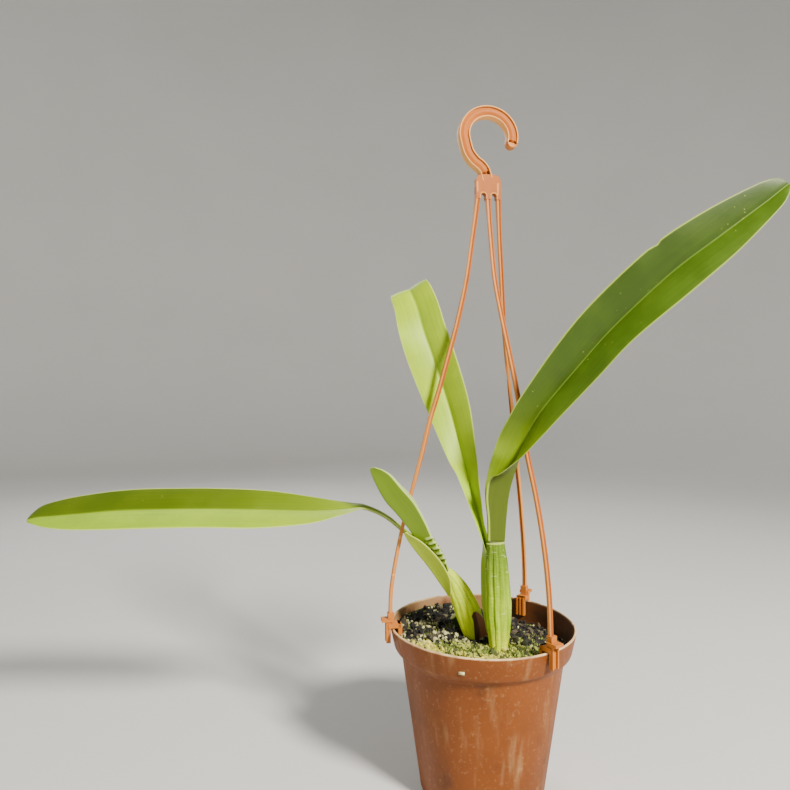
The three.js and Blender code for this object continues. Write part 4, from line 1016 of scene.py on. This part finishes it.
def add_leg(shell, name, degrees, route):
    """A leg, whose side turns from along the plate to along the rim, and the clip at its foot."""
    turn = np.radians(degrees)
    along_plate = np.array([np.cos(np.radians(HOOK_TURN)), np.sin(np.radians(HOOK_TURN))])
    along_rim = np.array([-np.sin(turn), np.cos(turn)]) * np.sign(np.cos(turn))
    rows = []
    for i, point in enumerate(route):
        share = smooth(i / (len(route) - 1), 0.15, 0.9)
        rows.append([*point, *(along_plate + (along_rim - along_plate) * share), 0])
    points, faces, share = bar(rows, 240, leg_width, leg_height)
    # Painted light and painted shade: one half of the leg in the worn colour, the other in the dirt
    # colour, as the light falls on it.
    wear_and_light = np.broadcast_to(0.3 * (share < 0), points.shape[:2]).ravel()
    points = points.reshape(-1, 3)
    seam = np.exp(-(((points[:, 2] - SEAM_HEIGHT) / 0.45) ** 2)) * (name == "left")
    shell.add(points, faces, np.maximum(wear_and_light, 0.8 * seam), 0.25 * (wear_and_light == 0))
    for low, high in clip_boxes():
        points, faces = bevelled(*box_shape(low, high), 0.3)
        points = np.asarray(points) + (POT_RADIUS, 0, LIP_TOP)
        shell.add(turned(points, degrees), faces, 0.1)


def make_hanger(material):
    shell = Shell()
    add_hook(shell)
    for name, (degrees, route) in LEG_ROUTES.items():
        add_leg(shell, name, degrees, route)
    return shell.make("hanger_fine", material)


pot_plastic = plastic_material(
    "pot plastic", (0.2, 0.053, 0.006), (0.8, 0.56, 0.28), (0.035, 0.014, 0.004),
    wear=0.14, gloss=(0.42, 0.6),
)
hanger_plastic = plastic_material(
    "hanger plastic", (0.47, 0.125, 0.008), (0.9, 0.46, 0.13), (0.17, 0.035, 0.003),
    wear=0.1, gloss=(0.5, 0.64),
)
pot_fine = make_pot(pot_plastic)
drill(pot_fine)
place(pot_fine, "pot_plastic", "pot")
place(make_hanger(hanger_plastic), "hanger_plastic", "hanger")


# The potting mix: a body of soil, and loose bark, grit and moss on its surface

MIX_LEVEL, MIX_DIP = 99.5, 10.0
MIX_TOWARDS = np.radians(35)
MIX_REACH, SOIL_RADIUS, GRAIN_RADIUS = 56.4, 54, 54.5
MIX_GAP = 0.3
MIX_COLUMN = np.array([
    (11.7, 2.1), (13.7, 4.6), (29.3, 4.6), (31.3, 2.1), (37.4, 2.1), (37.9, 3.1), (50.4, 87.3),
])
WALL_RADII, WALL_HEIGHTS = zip(*POT_INSIDE[3::-1])


def mix_level(x, y):
    """The smooth top of the mix, which dips towards the right and the back."""
    share = (x * np.cos(MIX_TOWARDS) + y * np.sin(MIX_TOWARDS)) / MIX_REACH
    return MIX_LEVEL - MIX_DIP * smooth(share, 0.05, 1)


def soil_level(x, y):
    uneven = 1.2 * wobble(x / 6, y / 6, seed=31) + 0.7 * wobble(x / 2.4, y / 2.4, seed=32)
    return mix_level(x, y) + uneven * (1 - 0.6 * smooth(np.hypot(x, y), 40, 54))


def inner_radius(height):
    return np.interp(height, WALL_HEIGHTS, WALL_RADII)


def mossy(x, y):
    """How mossy a place is: most at the front, none at the left back and right back."""
    front = smooth(-y, 14, 34) * (1 - 0.6 * smooth(x, 14, 40)) * (1 - 0.5 * smooth(-x, 30, 50))
    return np.clip(front + 0.35 * wobble(x / 8, y / 8, seed=41) * smooth(-y, 0, 20), 0, 1)


def crusted(x, y):
    """How thick crumbs lie: most along the rim at the front left, and before the bulbs."""
    angle = np.degrees(np.arctan2(y, x))
    arc = smooth(angle, -158, -140) * (1 - smooth(angle, -92, -74)) * smooth(np.hypot(x, y), 40, 49)
    heap = np.exp(-(((x + 2) / 9) ** 2 + ((y + 44) / 6) ** 2))
    return np.clip(arc + heap, 0, 1) * smooth(wobble(x / 4, y / 4, seed=51), -0.3, 0.4)


def gritty(x, y):
    """How thick grit lies: in clusters, most in the moss and least at the right."""
    clusters = 0.12 + 0.88 * smooth(wobble(x / 5, y / 5, seed=52), -0.1, 0.7)
    return clusters * (0.3 + 0.7 * mossy(x, y)) * (1 - 0.75 * smooth(x, 12, 26))


def make_soil(material, rings=70, sides=200):
    """The body of the mix: a column that fills the pot, and its uneven top."""
    angle = full_turn(sides)
    share = np.linspace(1, 0.01, rings)[:, None]
    reach = SOIL_RADIUS * share
    height = soil_level(reach * np.cos(angle), reach * np.sin(angle))
    top = ring_points(share * (inner_radius(height - 1) - MIX_GAP), height, angle)
    under = ring_points(MIX_COLUMN[:, :1], MIX_COLUMN[:, 1:], angle)
    points = np.concatenate([under, top]).reshape(-1, 3)
    x, y = points[:, 0], points[:, 1]
    layers = {"tone": 0.3 + 0.3 * wobble(x / 2, y / 2, seed=33), "green": mossy(x, y)}
    return make_object("soil", points, ring_faces(len(points) // sides, sides), material, layers)


def ball():
    """The points and triangles of a small round ball."""
    shape = bmesh.new()
    bmesh.ops.create_icosphere(shape, subdivisions=2, radius=1)
    points = np.array([v.co for v in shape.verts])
    faces = np.array([[v.index for v in f.verts] for f in shape.faces])
    shape.free()
    return points, faces


def turns(count, tilt):
    """Random turns: any turn about the vertical, after tilts spread by so many radians."""
    made = None
    for angles, at in (
        (random.uniform(0, 2 * np.pi, count), (0, 1)),
        (random.normal(0, tilt, count), (2, 0)),
        (random.normal(0, tilt, count), (1, 2)),
    ):
        turn = np.tile(np.eye(3), (count, 1, 1))
        a, b = at
        turn[:, a, a] = turn[:, b, b] = np.cos(angles)
        turn[:, b, a] = np.sin(angles)
        turn[:, a, b] = -np.sin(angles)
        made = turn if made is None else made @ turn
    return made


def scatter(count, chance):
    """Places in the pot, more of them where the chance is high."""
    x, y = np.empty(0), np.empty(0)
    while len(x) < count:
        radius = GRAIN_RADIUS * np.sqrt(random.random(4 * count))
        angle = random.uniform(0, 2 * np.pi, 4 * count)
        tx, ty = radius * np.cos(angle), radius * np.sin(angle)
        keep = random.random(4 * count) < chance(tx, ty)
        x, y = np.append(x, tx[keep]), np.append(y, ty[keep])
    return x[:count], y[:count]


def keep_inside(points):
    """Moves points that lie beyond the inner wall of the pot back inside it."""
    radius = np.hypot(points[..., 0], points[..., 1])
    most = inner_radius(points[..., 2]) - MIX_GAP
    points[..., :2] *= np.minimum(1, most / np.maximum(radius, 1e-6))[..., None]
    return points


def repeated(faces, step, count):
    """The faces of a piece once for each of its copies, whose points come one after another."""
    faces = np.array(faces)
    starts = step * np.arange(count)[:, None, None]
    return (faces[None] + starts).reshape(-1, faces.shape[1]).tolist()


GRAIN_KINDS = 14


def make_grains(name, material, count, sizes, tilt, lift, rough, fall, chance):
    """Many loose grains in one mesh. sizes are the least and most of each half measure, and lift
    of the height over the soil. rough is how uneven their forms are. A larger fall makes more
    of them dark."""
    base, faces = ball()
    kinds = base[None] * (1 + rough * random.uniform(-1, 1, (GRAIN_KINDS, len(base), 1)))
    low, high = np.array(sizes, float)
    larger = (high - low) * random.random((count, 1)) ** 1.7
    scale = low + larger * random.uniform(0.6, 1, (count, 3))
    x, y = scatter(count, chance)
    middle = stacked(x, y, soil_level(x, y) + random.uniform(*lift, count))
    kind = random.integers(0, GRAIN_KINDS, count)
    points = np.einsum("nij,nkj->nki", turns(count, tilt), kinds[kind] * scale[:, None, :])
    points = keep_inside(points + middle[:, None, :])
    faces = repeated(faces, len(base), count)
    layers = {"tone": random.random(count) ** fall, "green": mossy(x, y)}
    layers = {key: np.repeat(value, len(base)) for key, value in layers.items()}
    return make_object(name, points, faces, material, layers, smooth_faces=False, outwards=False)


MOSS_STEPS = ((0.0, 0.8), (0.35, 1.0), (0.7, 0.75), (1.0, 0.12))


def make_moss(name, material, count, length, chance, per_tuft=9):
    """Small upright blades of moss in tufts, each a three-sided spike."""
    x, y = scatter(count, chance)
    tuft = np.repeat(np.arange(count), per_tuft)
    total = len(tuft)
    spread = random.normal(0, 0.9, (total, 2))
    x, y = x[tuft] + spread[:, 0], y[tuft] + spread[:, 1]
    lean = spread * 0.5 + random.normal(0, 0.5, (total, 2))
    size = random.uniform(*length, total)
    width = random.uniform(0.14, 0.3, total)
    start = random.uniform(0, 2 * np.pi, total)
    rings = []
    for share, thick in MOSS_STEPS:
        middle = stacked(
            x + lean[:, 0] * share**1.6 * size * 0.8,
            y + lean[:, 1] * share**1.6 * size * 0.8,
            soil_level(x, y) - 0.6 + share * (size + 0.6),
        )
        for k in range(3):
            rings.append(middle + ring_points(width * thick, 0.0, start + 2 * np.pi * k / 3))
    points = keep_inside(np.stack(rings, axis=1))
    *quads, foot, tip = ring_faces(len(MOSS_STEPS), 3)
    faces = repeated(quads, len(rings), total) + repeated([foot, tip], len(rings), total)
    layers = {"tone": np.clip(random.normal(0.5, 0.28, total), 0, 1), "green": mossy(x, y)}
    layers = {key: np.repeat(value, len(rings)) for key, value in layers.items()}
    return make_object(name, points, faces, material, layers, outwards=False)


soil_skin = grain_material(
    "soil", (0.004, 0.004, 0.002), (0.022, 0.016, 0.008), (0.04, 0.05, 0.01)
)
bark_skin = grain_material(
    "bark", (0.003, 0.003, 0.002), (0.11, 0.085, 0.045), (0.07, 0.09, 0.015), moss_share=0.7
)
grit_skin = grain_material(
    "grit", (0.1, 0.1, 0.03), (0.64, 0.61, 0.3), (0.32, 0.36, 0.04), moss_share=0.9
)
crumb_skin = grain_material(
    "crumb", (0.26, 0.22, 0.02), (0.74, 0.67, 0.12), (0.38, 0.4, 0.03), moss_share=0.5
)
moss_skin = grain_material(
    "moss", (0.03, 0.06, 0.006), (0.42, 0.5, 0.06), (0.2, 0.3, 0.02), 0.7, moss_share=0.5
)
root_skin = grain_material("root", (0.2, 0.13, 0.06), (0.5, 0.4, 0.22), (0.3, 0.3, 0.1), 0.7)

place(make_soil(soil_skin), "mix", "potting_mix")
GRAINS = [
    ("bark_chips", bark_skin, 900, ((1.2, 0.9, 0.5), (3.8, 2.6, 1.5)), 0.6, (-0.8, 2.0), 0.24, 6.0,
     lambda x, y: 1 - 0.3 * mossy(x, y)),
    ("grit_grains", grit_skin, 820, ((0.4, 0.35, 0.3), (1.9, 1.6, 1.2)), 1.0, (0.1, 2.2), 0.18,
     1.2, gritty),
    ("crumbs", crumb_skin, 520, ((0.5, 0.45, 0.4), (2.1, 1.7, 1.3)), 1.0, (0.3, 2.0), 0.2, 0.9,
     crusted),
]
for grains in GRAINS:
    place(make_grains(*grains), "mix")
place(
    make_moss("moss_tufts", moss_skin, 460, (0.7, 2.3),
              lambda x, y: (0.04 + mossy(x, y) ** 1.3) * (1 - 0.8 * crusted(x, y))),
    "mix",
)

FLECK_PLACE = (-19, -55.9)


def make_fleck(material):
    """A pale grain that sticks to the collar of the pot."""
    points, faces = bevelled(*box_shape((57.7, -1.7, 94.5), (58.8, 1.7, 95.9)), 0.35)
    points = turned(points, np.degrees(np.arctan2(*FLECK_PLACE[::-1])))
    layers = {"tone": np.ones(len(points)), "green": np.zeros(len(points))}
    return make_object("fleck", points, faces, material, layers)


place(make_fleck(grit_skin), "mix")
place(
    make_strip("seedling", SEEDLING, sheath_skin, steps=30, across=12, wave=0.1, groove=0.05,
               keel=0.05),
    "sheath",
)
for slot in bpy.data.objects["rhizome"].material_slots:
    slot.material = root_skin


# The floor and backdrop, the lights and the camera


def floor_material():
    g = Graph("floor")
    shade = g.noise(g.position(), 3.0, 2.0)
    colour = g.mix(shade, (0.6, 0.6, 0.59), (0.66, 0.66, 0.65))
    return g.finish(colour, 0.85)


FLOOR_PROFILE = [
    (0.02, 0), (1600, 0), (2000, 60), (2300, 240), (2480, 560), (2550, 1000), (2550, 3000),
]


def make_floor(sides=96):
    """A round floor that curves up into a wall."""
    profile = fill_in(FLOOR_PROFILE, 300)
    points = ring_points(profile[:, :1], profile[:, 1:], full_turn(sides))
    faces = ring_faces(len(profile), sides)[:-1]
    return make_object("floor", points, faces, floor_material(), outwards=False)


# Name, place, target, size, power and colour of each light
LIGHTS = [
    ("key", (0.72, -0.95, 1.1), (0, 0, 0.22), 0.3, 64, (1.0, 0.94, 0.84)),
    ("fill", (-1.1, -0.9, 0.7), (0, 0, 0.2), 1.2, 3, (0.92, 0.96, 1.0)),
    ("rim", (-0.5, 1.1, 0.9), (0, 0, 0.22), 0.8, 8, (1.0, 0.98, 0.94)),
]


def add_light(name, place_at, target, size, power, colour):
    lamp = bpy.data.lights.new(name, "AREA")
    lamp.shape = "DISK"
    lamp.size = size
    lamp.energy = power
    lamp.color = colour
    made = bpy.data.objects.new(name, lamp)
    made.location = place_at
    made.rotation_euler = (Vector(target) - Vector(place_at)).to_track_quat("-Z", "Y").to_euler()
    bpy.context.scene.collection.objects.link(made)


def add_world(colour, strength):
    world = bpy.data.worlds.new("studio")
    world.use_nodes = True
    background = world.node_tree.nodes["Background"]
    background.inputs["Color"].default_value = (*colour, 1)
    background.inputs["Strength"].default_value = strength
    bpy.context.scene.world = world


CAMERA_PLACE = (-0.0566, -0.4187, 0.2533)
FOCAL_PIXELS, FRAME_PIXELS, SENSOR = 640, 790, 36


def add_camera():
    camera = bpy.data.cameras.new("camera")
    camera.sensor_fit = "HORIZONTAL"
    camera.sensor_width = SENSOR
    camera.lens = SENSOR * FOCAL_PIXELS / FRAME_PIXELS
    camera.clip_start = 0.01
    made = bpy.data.objects.new("camera", camera)
    made.location = CAMERA_PLACE
    made.rotation_euler = (np.pi / 2, 0, 0)
    bpy.context.scene.collection.objects.link(made)
    bpy.context.scene.camera = made


make_floor()
add_world((0.9, 0.94, 1.0), 0.2)
for light in LIGHTS:
    add_light(*light)
add_camera()
